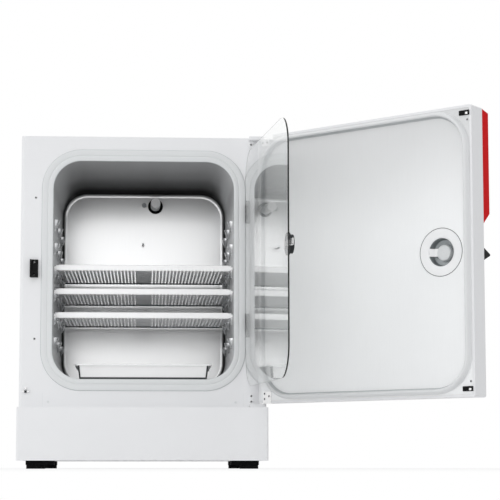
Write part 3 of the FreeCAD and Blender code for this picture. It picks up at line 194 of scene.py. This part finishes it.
def liner_painted_shade(tree, where):
    """Painted shade and painted dark reflection on the liner: it darkens over the ceiling and towards the
    rear along the side walls, and most in the fillet round its rear wall.
    """
    place = node(tree, "ShaderNodeSeparateXYZ", [(0, where.outputs["Object"])]).outputs
    facing = node(tree, "ShaderNodeSeparateXYZ", [(0, where.outputs["Normal"])]).outputs
    depth = remap(tree, place["Y"], FRONT * MM, REAR_WALL * MM, 0.0, 1.0)
    ceiling = remap(tree, facing["Z"], -0.25, -0.9, 0.0, 1.0)
    overhead = grey_ramp(tree, depth, [(0.0, 0.44), (0.45, 0.35), (0.85, 0.15), (0.97, 0.035)])
    walls = grey_ramp(tree, depth, [(0.0, 0.85), (0.8, 0.76), (0.94, 0.52), (0.995, 0.1)])
    side = remap(tree, math_node(tree, "ABSOLUTE", facing["X"]), 0.3, 0.8, 0.0, 1.0)
    tone = between(tree, side, 1.0, walls)
    tone = between(tree, ceiling, tone, overhead)
    near = remap(tree, place["Y"], (REAR_WALL - 15) * MM, (REAR_WALL - 10) * MM, 0.0, 1.0)
    turning = remap(tree, math_node(tree, "ABSOLUTE", facing["Y"]), 0.2, 0.6, 1.0, 0.0)
    above = remap(tree, facing["Z"], 0.5, 0.1, 0.0, 1.0)
    dark = math_node(tree, "MULTIPLY", math_node(tree, "MULTIPLY", near, turning), above)
    return between(tree, dark, tone, 0.01)


def door_painted_shade(tree, where):
    """Painted shade: the door's inner panel is made a little darker towards its top."""
    place = node(tree, "ShaderNodeSeparateXYZ", [(0, where.outputs["Object"])]).outputs
    return remap(tree, place["Z"], 0.56, 0.93, 1.0, 0.72)


def glass_material():
    """Clear float glass whose edge faces are painted near-black and opaque, a painted shade for the dark look
    of a pane's edge; the edge is told by the face's own direction on the pane.
    """
    material, tree, shader = nodes_of("clear_glass")
    where = node(tree, "ShaderNodeTexCoord")
    out = SWING["glass"].to_3x3() @ Vector((0, 1, 0))
    turn = node(tree, "ShaderNodeVectorMath", [(0, where.outputs["Normal"])], operation="DOT_PRODUCT")
    turn.inputs[1].default_value = out
    face = math_node(tree, "GREATER_THAN", math_node(tree, "ABSOLUTE", turn.outputs["Value"]), 0.6)
    smudge = node(tree, "ShaderNodeTexNoise", [("Vector", where.outputs["Object"])], in_Scale=9.0,
                  in_Detail=2.0)
    # Edge faces get a near-black colour and no transmission: painted shade.
    tone = node(tree, "ShaderNodeMix", [("Factor", face)], data_type="RGBA")
    tone.inputs["A"].default_value = (0.002, 0.004, 0.004, 1)
    tone.inputs["B"].default_value = (0.985, 0.995, 0.992, 1)
    tree.links.new(tone.outputs["Result"], shader.inputs["Base Color"])
    haze = node(tree, "ShaderNodeMapRange", [(0, smudge.outputs["Fac"])])
    haze.inputs["To Min"].default_value = 0.0
    haze.inputs["To Max"].default_value = 0.02
    tree.links.new(haze.outputs[0], shader.inputs["Roughness"])
    tree.links.new(math_node(tree, "MULTIPLY", face, 0.97), shader.inputs["Transmission Weight"])
    shader.inputs["IOR"].default_value = 1.5
    return material


# How the grain of brushed sheet is stretched, and the finishes by name
UPRIGHT = (60, 60, 1.2)
ACROSS = (1.2, 60, 60)
FINISHES = {
    "white_paint": dict(colour=(0.83, 0.835, 0.845), rough=0.42, grain=900, bump=0.08, vary=0.012),
    # door_panel is darkened towards its top by painted shade.
    "door_panel": dict(colour=(0.87, 0.88, 0.885), rough=0.34, metal=0.3, grain=14, bump=0.02, vary=0.025,
                       stretch=UPRIGHT, rough_vary=0.05, tone_by=door_painted_shade),
    # chamber_steel is darkened over the ceiling, towards the rear and in the rear fillet by painted shade and
    # painted dark reflection.
    "chamber_steel": dict(colour=(0.966, 0.971, 0.976), rough=0.23, metal=0.46, grain=10, bump=0.015,
                          vary=0.02, stretch=UPRIGHT, rough_vary=0.04, tone_by=liner_painted_shade, dull=0.04,
                          Specular_Tint=(0.42, 0.43, 0.44, 1), Specular_IOR_Level=0.0),
    "support_steel": dict(colour=(0.74, 0.75, 0.76), rough=0.24, metal=0.7, grain=200, bump=0.02, vary=0.03),
    "shelf_steel": dict(colour=(0.97, 0.975, 0.98), rough=0.35, metal=0.1, grain=10, bump=0.01, vary=0.02,
                        stretch=ACROSS, rough_vary=0.05),
    "bar_steel": dict(colour=(0.99, 0.99, 0.99), rough=0.25, metal=0.0, grain=10, bump=0.01, vary=0.012,
                      stretch=ACROSS, rough_vary=0.05),
    # dark_steel is painted shade: the dark strip at each shelf's rear, the dark pads beside the pressed
    # supports, the pan's dark sole, and a painted dark reflection on the pan's rounded corners.
    "dark_steel": dict(colour=(0.07, 0.075, 0.08), rough=0.3, metal=0.7, grain=300, bump=0.02, vary=0.1),
    "bright_steel": dict(colour=(0.78, 0.78, 0.78), rough=0.22, metal=1.0, grain=600, bump=0.03, vary=0.04),
    "grey_seal": dict(colour=(0.73, 0.745, 0.75), rough=0.5, grain=500, bump=0.1, vary=0.015),
    # seal_edge is painted shade along the lips of the chamber seal and on the inner side of the door gasket's
    # bulb.
    "seal_edge": dict(colour=(0.5, 0.52, 0.53), rough=0.5, grain=500, bump=0.1, vary=0.03),
    "gasket_grey": dict(colour=(0.76, 0.77, 0.775), rough=0.45, grain=500, bump=0.1, vary=0.015),
    "cup_white": dict(colour=(0.9, 0.905, 0.91), rough=0.35, grain=700, bump=0.04, vary=0.01),
    # cup_line is a painted shadow line round the cup's rim.
    "cup_line": dict(colour=(0.12, 0.125, 0.13), rough=0.4, grain=500, bump=0.05, vary=0.05),
    "black_rubber": dict(colour=(0.006, 0.006, 0.0065), rough=0.8, grain=700, bump=0.2, vary=0.2,
                         Specular_IOR_Level=0.1),
    "black_plastic": dict(colour=(0.005, 0.005, 0.0055), rough=0.55, grain=900, bump=0.12, vary=0.15,
                          Specular_IOR_Level=0.12),
    "dark_plastic": dict(colour=(0.03, 0.033, 0.036), rough=0.5, grain=900, bump=0.1, vary=0.1,
                         Specular_IOR_Level=0.15),
    "white_silicone": dict(colour=(0.95, 0.95, 0.95), rough=0.5, grain=500, bump=0.08, vary=0.01),
    "red_plastic": dict(colour=(0.62, 0.001, 0.003), rough=0.6, grain=900, bump=0.04, vary=0.05,
                        Specular_IOR_Level=0.12),
    "display_glass": dict(colour=(0.012, 0.014, 0.018), rough=0.08, grain=200, bump=0.0, vary=0.1,
                          Coat_Weight=0.5),
    "key_grey": dict(colour=(0.62, 0.63, 0.64), rough=0.45, grain=900, bump=0.1, vary=0.03),
    "heating_mat": dict(colour=(0.55, 0.25, 0.1), rough=0.6, grain=200, bump=0.2, vary=0.1),
    "insulation": dict(colour=(0.75, 0.68, 0.42), rough=0.9, grain=90, bump=0.6, vary=0.12, depth=0.002),
    "dark_metal": dict(colour=(0.25, 0.26, 0.27), rough=0.4, metal=0.6, grain=500, bump=0.1, vary=0.08),
    "circuit_board": dict(colour=(0.02, 0.22, 0.07), rough=0.4, grain=160, bump=0.15, vary=0.2),
    "brass": dict(colour=(0.75, 0.56, 0.24), rough=0.28, metal=1.0, grain=500, bump=0.05, vary=0.06),
    "cup_shade": dict(colour=(0.3, 0.32, 0.33), rough=0.3, metal=0.6, grain=300, bump=0.03, vary=0.04),
    # recess_dark is painted shade in hollows: the sockets of screw heads and the hollows of the pressed
    # supports.
    "recess_dark": dict(colour=(0.03, 0.032, 0.035), rough=0.5, grain=600, bump=0.1, vary=0.1),
    "chalk_white": dict(colour=(0.92, 0.92, 0.92), rough=0.35, grain=700, bump=0.04, vary=0.01),
}
M = {name: surface(name, **values) for name, values in FINISHES.items()}
M["clear_glass"] = glass_material()

# Each node gets the finish of its slot, and three small fittings a darker one
for entry in frame["record"]["subparts"]:
    slots = frame["nodes"][entry["node"]].data.materials
    slots.clear()
    slots.append(M[entry["material_slot"]])
for label, finish in (("access_port_tube", "black_rubber"), ("chamber_sensor", "dark_metal"),
                      ("gas_nozzle", "dark_metal")):
    frame["nodes"][label].data.materials[0] = M[finish]


# Mesh helpers
def piece(name, shapes, body, door=None, nodes=()):
    """One object from (points, faces) shapes, each with its material, riding on a body."""
    mesh = bpy.data.meshes.new(name)
    points, faces, which, used = [], [], [], []
    for verts, polys, material in shapes:
        if material not in used:
            used.append(material)
        start = len(points)
        points += [SWING[door] @ (Vector(v) * MM) for v in verts]
        faces += [[start + i for i in poly] for poly in polys]
        which += [used.index(material)] * len(polys)
    mesh.from_pydata(points, [], faces)
    for material in used:
        mesh.materials.append(M[material])
    mesh.polygons.foreach_set("material_index", which)
    shaped = bmesh.new()
    shaped.from_mesh(mesh)
    bmesh.ops.remove_doubles(shaped, verts=shaped.verts, dist=1e-7)
    bmesh.ops.recalc_face_normals(shaped, faces=shaped.faces)
    shaped.to_mesh(mesh)
    shaped.free()
    mesh.shade_smooth()
    mesh.set_sharp_from_angle(angle=SHARP_ANGLE)
    obj = bpy.data.objects.new(name, mesh)
    bpy.context.scene.collection.objects.link(obj)
    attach(obj, body)
    if nodes:
        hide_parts(*nodes)


def rounded_path(cx, cz, width, height, radius, steps=12):
    """Corner centres, outward directions and the radius round a rounded rectangle, seen from the front."""
    path = []
    for corner, (sx, sz) in enumerate(((1, 1), (-1, 1), (-1, -1), (1, -1))):
        mx, mz = cx + sx * (width / 2 - radius), cz + sz * (height / 2 - radius)
        for i in range(steps + 1):
            a = math.pi / 2 * (corner + i / steps)
            path.append(((mx, mz), (math.cos(a), math.sin(a)), radius))
    return path


def loft(rings, caps=False):
    """Faces between closed rings of equally many points."""
    count = len(rings[0])
    points = [p for ring in rings for p in ring]
    faces = []
    for r in range(len(rings) - 1):
        for i in range(count):
            j = (i + 1) % count
            faces.append((r * count + i, r * count + j, (r + 1) * count + j, (r + 1) * count + i))
    if caps:
        faces.append(tuple(range(count))[::-1])
        faces.append(tuple(range((len(rings) - 1) * count, len(rings) * count)))
    return points, faces


def from_plane(plane, profile):
    """A profile of (outward or radius, y) points with y counted from a plane."""
    return [(out, plane + y) for out, y in profile]


def frame_sweep(path, profile):
    """Carry a profile of (outward, y) points round a path in the front plane."""
    rings = []
    for out, y in profile:
        rings.append([(mx + dx * (r + out), y, mz + dz * (r + out)) for (mx, mz), (dx, dz), r in path])
    return loft(rings)


def turned(axis_x, axis_z, profile, sides, caps=True):
    """A turned shape about an axis along Y, from (radius, y) points."""
    rings = []
    for radius, y in profile:
        rings.append([
            (axis_x + radius * math.cos(2 * math.pi * i / sides), y,
             axis_z + radius * math.sin(2 * math.pi * i / sides))
            for i in range(sides)
        ])
    return loft(rings, caps=caps)


def soft_box(x0, x1, y0, y1, z0, z1, radius, steps):
    """A box with rounded edges."""
    shaped = bmesh.new()
    bmesh.ops.create_cube(shaped, size=1)
    for v in shaped.verts:
        v.co = Vector((x0 + (v.co.x + 0.5) * (x1 - x0), y0 + (v.co.y + 0.5) * (y1 - y0),
                       z0 + (v.co.z + 0.5) * (z1 - z0)))
    bmesh.ops.bevel(shaped, geom=list(shaped.edges), offset=radius, segments=steps, profile=0.5,
                    affect="EDGES", clamp_overlap=True)
    shaped.verts.index_update()
    made = [tuple(v.co) for v in shaped.verts], [[v.index for v in f.verts] for f in shaped.faces]
    shaped.free()
    return made


def screw_head(x, z, seat, way=-1, radius=3.6, height=1.6):
    """A domed head whose socket is painted dark, a painted shade. way is -1 where the head faces the front.
    """
    def level(share):
        return seat + way * height * share

    sides = 20
    rim = [(radius, level(0)), (radius, level(0.35)), (radius * 0.86, level(0.8)), (radius * 0.64, level(1))]
    well = [(radius * 0.64, level(1)), (radius * 0.6, level(0.6)), (0.01, level(0.55))]
    return [(*turned(x, z, rim, sides, False), "bright_steel"),
            (*turned(x, z, well, sides, False), "recess_dark")]


# Camera, in metres
camera = bpy.data.cameras.new("camera")
camera.lens = 116.0
camera.sensor_width = 36.0
camera.shift_y = 0.12
camera.shift_x = 0.04
eye = bpy.data.objects.new("camera", camera)
bpy.context.scene.collection.objects.link(eye)
eye.location = (0.0045, -4.719, 0.0075)
yaw, pitch = math.radians(3.03), math.radians(5.53)
ahead = Vector((math.sin(yaw) * math.cos(pitch), math.cos(yaw) * math.cos(pitch), math.sin(pitch)))
eye.rotation_euler = ahead.to_track_quat("-Z", "Y").to_euler()
bpy.context.scene.camera = eye

# Seal round the chamber opening; the narrow strips along its outer and inner lips are painted darker, as
# painted shade lines.
opening = rounded_path(cx=0, cz=548, width=2 * CHAMBER_HALF, height=606, radius=78)
seal_profiles = (
    ([(1.5, -0.05), (1.5, 1.6), (0, 1.6), (0, -1.2), (0.8, -2.4)], "seal_edge"),
    ([(0.8, -2.4), (2.2, -3.0), (12.6, -3.0), (13.6, -2.6), (14.2, -1.9), (15.2, -1.9), (16.0, -2.6),
      (17.4, -3.0), (29.4, -3.0), (31.2, -2.6)], "grey_seal"),
    ([(31.2, -2.6), (32.0, -1.8), (32.5, -0.05), (1.5, -0.05)], "seal_edge"),
)
seal_shapes = [(*frame_sweep(opening, from_plane(FRONT, profile)), finish)
               for profile, finish in seal_profiles]
piece("chamber_seal_soft", seal_shapes, "cabinet", nodes=["chamber_seal_ring"])

# Gasket of the outer door: its foot, its bulb and its lip; the lip, on the bulb's inner side, is painted
# darker as painted shade.
gasket_path = rounded_path(cx=-1.1, cz=549.5, width=657.8, height=725, radius=100)
gasket_profiles = (
    ([(-16.5, 0), (0, 0), (0, 1.6), (-0.8, 2.2)], "gasket_grey"),
    ([(-0.8, 2.2), (-2.2, 8.5), (-4.6, 12.8), (-7.6, 15.0), (-10.2, 14.6), (-12.8, 11.5)], "gasket_grey"),
    ([(-12.8, 11.5), (-14.0, 6.5), (-15.2, 1.6), (-16.5, 1.0), (-16.5, 0)], "seal_edge"),
)
gasket_shapes = [(*frame_sweep(gasket_path, from_plane(DOOR_INNER, profile)), finish)
                 for profile, finish in gasket_profiles]
piece("outer_door_gasket_soft", gasket_shapes, "outer_door", door="outer",
      nodes=["outer_door_gasket"])

# Cup for the glass door's latch: its rim, flange, wall and boss, and the web across it. The dark line round
# the rim and the darker wall and floor of the recess are painted shade.
cup_profiles = (
    ([(62.5, -2.4), (62.5, -0.5), (60.8, 0.1)], 72, "cup_line"),
    ([(60.8, 0.1), (59.2, 0.2), (40.5, 0), (37.8, -0.5), (36.2, -2.0)], 72, "cup_white"),
    ([(36.2, -2.0), (35.6, -5), (35.0, -17), (33.0, -21.5), (29.0, -23), (0.5, -23)], 72, "cup_shade"),
    ([(21.5, -22.9), (20.8, -21.5), (20.5, -15.5), (19.6, -13.8), (17.8, -13), (0.5, -13)], 56, "grey_seal"),
)
web_side = [(12, -22.8), (35.4, -22.8), (35.4, -1.4), (34.0, -1.8), (25.5, -12.4), (24.5, -13.3), (12, -13.4)]
web = loft([[(CUP_X + x, DOOR_INNER + y, CUP_Z + rise) for x, y in web_side] for rise in (-8.5, 11.5)],
           caps=True)
cup_shapes = [(*turned(CUP_X, CUP_Z, from_plane(DOOR_INNER, profile), sides, False), finish)
              for profile, sides, finish in cup_profiles]
piece("latch_cup", cup_shapes + [(*web, "chalk_white")], "outer_door", door="outer",
      nodes=["outer_door_latch_cup"])


# Shelves: a slotted tray with a rolled front bar and end pins
def slotted(half, y0, y1, z0, z1, pitch, slot, rows, bridge, plain):
    """A sheet with slots along Y in rows, left plain near the middle and along its edges."""
    columns = int(2 * half / pitch)
    step = 2 * half / columns
    span = (y1 - y0) / rows
    points, faces, index = [], [], {}

    def at(x, y, z):
        key = (round(x, 4), round(y, 4), round(z, 4))
        if key not in index:
            index[key] = len(points)
            points.append((x, y, z))
        return index[key]

    def quad(a, b, c, d):
        faces.append([at(*a), at(*b), at(*c), at(*d)])

    for c in range(columns):
        left = -half + c * step
        xs = [left, left + (step - slot) / 2, left + (step + slot) / 2, left + step]
        solid = abs(left + step / 2) < plain or c in (0, columns - 1)
        for r in range(rows):
            near = y0 + r * span
            ys = [near, near + bridge / 2, near + span - bridge / 2, near + span]
            for i in range(3):
                for k in range(3):
                    if not solid and i == 1 and k == 1:
                        continue
                    for z in (z0, z1):
                        quad((xs[i], ys[k], z), (xs[i + 1], ys[k], z), (xs[i + 1], ys[k + 1], z),
                             (xs[i], ys[k + 1], z))
            if not solid:
                ring = [(xs[1], ys[1]), (xs[2], ys[1]), (xs[2], ys[2]), (xs[1], ys[2])]
                for a, b in zip(ring, ring[1:] + ring[:1]):
                    quad((*a, z0), (*b, z0), (*b, z1), (*a, z1))
    return points, faces


def shelf_bar(top):
    """The front bar, drawn in and rounded towards both ends."""
    half_length, half_deep, half_tall, corners = 244.5, 4.9, 8.4, 16
    rings = []
    for share in (-1, -0.997, -0.985, -0.96, 0.96, 0.985, 0.997, 1):
        size = 1 - 0.45 * max(0.0, (abs(share) - 0.955) / 0.045) ** 2
        if abs(share) == 1:
            size *= 0.6
        ring = []
        for k in range(corners):
            a = 2 * math.pi * (k + 0.5) / corners
            c, d = math.cos(a), math.sin(a)
            y = SHELF_FRONT + 5 + half_deep * size * math.copysign(abs(c) ** 0.45, c)
            z = top - 8.5 + half_tall * size * math.copysign(abs(d) ** 0.45, d)
            ring.append((share * half_length, y, z))
        rings.append(ring)
    return loft(rings, caps=True)


TRAY_HALF = 243
shelf_rear = SHELF_FRONT + SHELF_DEPTH
for name, top in SHELF_TOPS.items():
    tray = slotted(TRAY_HALF, SHELF_FRONT + 9, shelf_rear - 3, top - 1.5, top - 0.2,
                   pitch=10.0, slot=3.6, rows=9, bridge=7.0, plain=20)
    # The dark strip along the tray's rear edge is painted shade.
    rear = soft_box(-TRAY_HALF, TRAY_HALF, shelf_rear - 3.5, shelf_rear - 0.5, top - 5, top - 0.1, 1.0, 2)
    shapes = [(*tray, "shelf_steel"), (*shelf_bar(top), "bar_steel"), (*rear, "dark_steel")]
    for side in (-1, 1):
        x0, x1 = sorted((side * TRAY_HALF, side * (TRAY_HALF + 2)))
        flange = soft_box(x0, x1, SHELF_FRONT + 8, shelf_rear - 1, top - 9, top - 0.1, 0.6, 2)
        shapes.append((*flange, "shelf_steel"))
        x0, x1 = sorted((side * (TRAY_HALF + 0.5), side * (TRAY_HALF + 6)))
        pin = soft_box(x0, x1, SHELF_FRONT + 1.5, SHELF_FRONT + 8.5, top - 12.5, top - 4.5, 2.4, 3)
        shapes.append((*pin, "bar_steel"))
    piece("shelf_%s_tray" % name, shapes, "shelf_" + name, nodes=["shelf_" + name])


# Shelf supports pressed out of the side walls
def teardrop(side, y, top):
    """A hollow-topped bulge that narrows to a point below; the floor of its hollow is painted dark, a painted
    shade.
    """
    wall = side * (CHAMBER_HALF - 0.1)
    half_width, stand, tall = 16.5, 13.6, 30.5
    arc = [math.pi * k / 12 for k in range(13)]

    def ring(half, deep, z):
        return [(wall - side * deep * math.sin(a), y - half * math.cos(a), z) for a in arc]

    rings = []
    for i in range(11):
        t = i / 10
        swell = math.sin(math.pi * min(1.0, 0.42 + 0.58 * t)) ** 0.8
        half = half_width * swell * (1 - t ** 3) + 0.4
        deep = stand * (1 - t) ** 0.55 * (0.72 + 0.28 * swell) + 0.2
        rings.append(ring(half, deep, top - tall * t))
    inner = ring(13.0, 9.8, top - 0.2)
    floor = ring(11.0, 8.0, top - 12.0)
    return [(*loft([inner] + rings), "support_steel"), (*loft([floor, inner], caps=True), "recess_dark")]


supports = []
support_columns, dot_columns = (0.12, 0.5, 0.88), (0.31, 0.69)
for level in range(-3, 3):
    top = SHELF_TOPS["upper"] + level * LEVEL_PITCH - 1.7
    for column in support_columns:
        for side in (-1, 1):
            supports += teardrop(side, SHELF_FRONT + SHELF_DEPTH * column, top)
    # Small dark pads on the walls between the supports are painted shade for slots in the wall.
    for column in dot_columns:
        for side in (-1, 1):
            x0, x1 = sorted((side * (CHAMBER_HALF - 2.4), side * (CHAMBER_HALF - 0.05)))
            y = SHELF_FRONT + SHELF_DEPTH * column
            supports.append((*soft_box(x0, x1, y - 4, y + 4, top - 15, top - 5, 1.1, 3), "dark_steel"))
piece("pressed_supports", supports, "cabinet", nodes=["shelf_supports"])


# Water pan; its sole is painted dark as painted shade under it, and its rounded corners get a painted dark
# reflection.
def pan_ring(half_x, half_y, radius, z, steps=6):
    """A level ring round the pan, with rounded corners."""
    ring = []
    for corner, (sx, sy) in enumerate(((1, 1), (-1, 1), (-1, -1), (1, -1))):
        for i in range(steps + 1):
            a = math.pi / 2 * (corner + i / steps)
            x = sx * (half_x - radius) + radius * math.cos(a)
            y = PAN_MIDDLE + sy * (half_y - radius) + radius * math.sin(a)
            ring.append((x, y, z))
    return ring


def loft_with_shaded_corners(rings, plain, corner):
    """A loft whose rounded corners, on the half that faces a side wall, have a finish of their own: a painted
    dark reflection.
    """
    points, faces = loft(rings)
    count = len(rings[0])

    def bent(face):
        (x0, y0, _), (x1, y1, _) = (rings[0][i % count] for i in face[:2])
        length = math.hypot(x1 - x0, y1 - y0)
        return length < 20 and abs(y1 - y0) / length > 0.6

    return [(points, [f for f in faces if not bent(f)], plain),
            (points, [f for f in faces if bent(f)], corner)]


pan_rim = [pan_ring(*row) for row in (
    (181.0, 198.5, 9.0, 287.6), (182.0, 199.5, 9.5, 288.9), (189.5, 207.0, 14, 289.2),
    (191.2, 208.7, 15, 287.6), (191.5, 209.0, 15.2, 285.5), (190.3, 207.8, 14.6, 285.5),
    (189.8, 207.3, 14.2, 287.3), (183.2, 200.7, 10.5, 287.6), (182.3, 199.8, 10, 286.5),
)]
pan_wall = [pan_ring(*row) for row in (
    (182.3, 199.8, 10, 286.5), (181.6, 199.1, 9.8, 281.0), (178.5, 196.0, 9.5, 253.5),
)]
pan_sole = [pan_ring(*row) for row in (
    (178.5, 196.0, 9.5, 253.5), (177.6, 195.1, 9.2, 249.0), (173.8, 191.3, 7.0, 245.5),
)]
pan_well = [pan_ring(*row) for row in (
    (181.0, 198.5, 9.0, 287.6), (176.4, 193.9, 8.0, 248.2), (173.0, 190.5, 6.0, 246.9),
)]
# The corner finish is a painted dark reflection, and the dark sole is painted shade.
pan_shapes = loft_with_shaded_corners(pan_wall, "bar_steel", "dark_steel")
for rings, finish in ((pan_rim, "shelf_steel"), (pan_sole, "dark_steel"), (pan_well, "shelf_steel")):
    pan_shapes.append((*loft(rings), finish))
for ring in (pan_sole[-1], pan_well[-1]):
    pan_shapes.append((ring, [tuple(range(len(ring)))], "shelf_steel"))
piece("water_pan_pressed", pan_shapes, "water_pan", nodes=["water_pan"])


# Screws
def screw_set(name, points, way, body, door, node_name):
    """Heads with short shanks, from (x, z, seat, shank) entries."""
    shapes = []
    for x, z, seat, shank in points:
        shapes += screw_head(x, z, seat, way)
        ends = [(1.9, seat), (1.9, seat - way * shank * 0.7), (1.1, seat - way * shank)]
        shapes.append((*turned(x, z, ends, 16), "bright_steel"))
    piece(name, shapes, body, door=door, nodes=[node_name])


hinge_seat, ear_seat, strike_seat = FRONT - 3.0, FRONT - 2.5, FRONT - 5.15
hinge_x, ear_x, strike_x = 297.5, 291.1, -301.5
screw_set("front_fitting_screw_heads", (
    [(hinge_x, z, hinge_seat, 5) for z in (184, 199, 901)]
    + [(ear_x, z, ear_seat, 4.5) for z in (737, 368)]
    + [(strike_x, z, strike_seat, 7) for z in (531.5, 566.5)]
), -1, "cabinet", None, "front_fitting_screws")
plate_seat = DOOR_INNER + 2.0
near_x, far_x, catch_x = 314.6, 299.6, -327
plate_holes = ((near_x, 204), (far_x, 197), (near_x, 190), (near_x, 899.5), (far_x, 899.5))
screw_set("outer_door_screw_heads", (
    [(x, z, plate_seat, 2) for x, z in plate_holes] + [(catch_x, z, DOOR_INNER, 0.8) for z in (881, 218)]
), 1, "outer_door", "outer", "outer_door_screws")

# Corner catches of the outer door: a keeper with a bent end and a bright tongue in its gap
seat, stand = DOOR_INNER + 0.05, DOOR_INNER + 3.95
catch_blocks = (
    (-332.4, -303.6, seat, DOOR_INNER + 2.2, -6.4, 6.4, 0.8, "black_plastic"),
    (-321.0, -303.6, seat, stand, -6.0, 6.0, 1.0, "black_plastic"),
    (-332.4, -329.4, seat, stand, -6.2, 6.2, 0.8, "black_plastic"),
    (-329.8, -320.6, seat, stand, 2.6, 6.2, 0.8, "black_plastic"),
    (-328.6, -321.6, DOOR_INNER + 1.8, DOOR_INNER + 3.4, -4.6, 1.4, 0.5, "bright_steel"),
)
catch_shapes = [(*soft_box(x0, x1, y0, y1, z + low, z + high, edge, 2), finish)
                for z in (199.5, 899.5) for x0, x1, y0, y1, low, high, edge, finish in catch_blocks]
piece("corner_catches", catch_shapes, "outer_door", door="outer",
      nodes=["outer_door_corner_catches"])

# Finger tab on the glass door's latch
piece("glass_latch_tab", [
    (*soft_box(-288.5, -274.5, -301.4, -294.4, 541.5, 556.5, 1.2, 3), "chalk_white"),
], "glass_latch", door="glass")

# Fittings on the frame: round plugs, screws, upright seams and a small pin fitting
marks = []
plug = from_plane(FRONT, [(3.4, -0.02), (3.3, -0.6), (2.4, -1.0)])
for x in (-259.6, 254.6):
    marks.append((*turned(x, 182.3, plug, 24), "grey_seal"))
for z in (747.0, 355.0):
    marks += screw_head(-298.8, z, FRONT - 0.02, radius=4.0, height=1.8)
for x in (-275.4, 275.4):
    seam = soft_box(x - 0.35, x + 0.35, FRONT - 0.12, FRONT + 0.2, BASE_TOP + 2, BASE_TOP + 40, 0.1, 1)
    marks.append((*seam, "grey_seal"))
marks.append((*soft_box(-331, -309, FRONT - 5.2, FRONT - 2.4, 208.6, 211.8, 1.2, 3), "bright_steel"))
marks.append((*soft_box(-324.5, -317.5, FRONT - 6.0, FRONT - 0.02, 206.8, 213.4, 1.4, 3), "dark_plastic"))
pin_foot = from_plane(FRONT, [(3.2, -0.02), (3.2, -2.4), (2.2, -3.0)])
marks.append((*turned(-320.6, 219.5, pin_foot, 20), "bright_steel"))
piece("front_frame_plugs", marks, "cabinet")


# Light: the surroundings look white, and light the object most from the left, the front and above
BRIGHT_SIDE = (-0.6, -0.66, 0.45)
DIMMEST = 0.26
world = bpy.data.worlds.new("world")
bpy.context.scene.world = world
world.use_nodes = True
tree = world.node_tree
tree.nodes.clear()
plain = node(tree, "ShaderNodeBackground", in_Color=(1, 1, 1, 1), in_Strength=1.0)
where = tree.nodes.new("ShaderNodeTexCoord")
lean = node(tree, "ShaderNodeVectorMath", [(0, where.outputs["Generated"])], operation="DOT_PRODUCT")
lean.inputs[1].default_value = BRIGHT_SIDE
level = node(tree, "ShaderNodeMapRange", [(0, lean.outputs["Value"])], in_From_Min=-1.0, in_From_Max=1.0,
             in_To_Min=DIMMEST, in_To_Max=1.0)
soft = node(tree, "ShaderNodeBackground", [("Strength", level.outputs[0])], in_Color=(0.985, 0.99, 1.0, 1))
mixed = node(tree, "ShaderNodeMixShader",
             [(0, directly_seen(tree)), (1, soft.outputs[0]), (2, plain.outputs[0])])
node(tree, "ShaderNodeOutputWorld", [(0, mixed.outputs[0])])


def lamp(name, power, size, place, target):
    """An area lamp that faces its target. Its size and places are in metres."""
    light = bpy.data.lights.new(name, "AREA")
    light.energy = power
    light.shape = "RECTANGLE"
    light.size, light.size_y = size
    obj = bpy.data.objects.new(name, light)
    bpy.context.scene.collection.objects.link(obj)
    obj.location = place
    obj.rotation_euler = (Vector(target) - Vector(place)).to_track_quat("-Z", "Y").to_euler()


lamp("front_soft", 16, (2.6, 1.2), (-0.9, -4.4, 1.0), (-0.1, 0, 0.2))
lamp("left_soft", 7, (1.6, 2.2), (-3.2, -2.2, 1.8), (0.2, -0.4, 0.5))
lamp("top_soft", 5, (2.6, 2.0), (0.1, -0.6, 3.4), (0.1, -0.4, 0.4))

# Floor, in metres: it fades into the white surroundings away from the object
floor_mesh = bpy.data.meshes.new("floor")
floor_half, floor_drop = 30.0, 0.0005
floor_corners = [(-1, -1), (1, -1), (1, 1), (-1, 1)]
floor_mesh.from_pydata([(x * floor_half, y * floor_half, -floor_drop) for x, y in floor_corners], [],
                       [(0, 1, 2, 3)])
floor = bpy.data.objects.new("floor", floor_mesh)
bpy.context.scene.collection.objects.link(floor)
floor_material, tree, shader = nodes_of("floor")
shader.inputs["Base Color"].default_value = (0.96, 0.96, 0.96, 1)
shader.inputs["Roughness"].default_value = 0.9
shader.inputs["Specular IOR Level"].default_value = 0.1
glow = node(tree, "ShaderNodeEmission", in_Color=(1, 1, 1, 1), in_Strength=1.0)
where = node(tree, "ShaderNodeTexCoord").outputs["Object"]
reach = node(tree, "ShaderNodeVectorMath", [(0, where)], operation="LENGTH").outputs["Value"]
part = math_node(tree, "MULTIPLY", directly_seen(tree), remap(tree, reach, 1.0, 3.2, 0.76, 1.0))
blended = node(tree, "ShaderNodeMixShader", [(0, part), (1, shader.outputs[0]), (2, glow.outputs[0])])
tree.links.new(blended.outputs[0], tree.nodes["Material Output"].inputs["Surface"])
floor_mesh.materials.append(floor_material)

bpy.context.scene.view_settings.view_transform = "Standard"
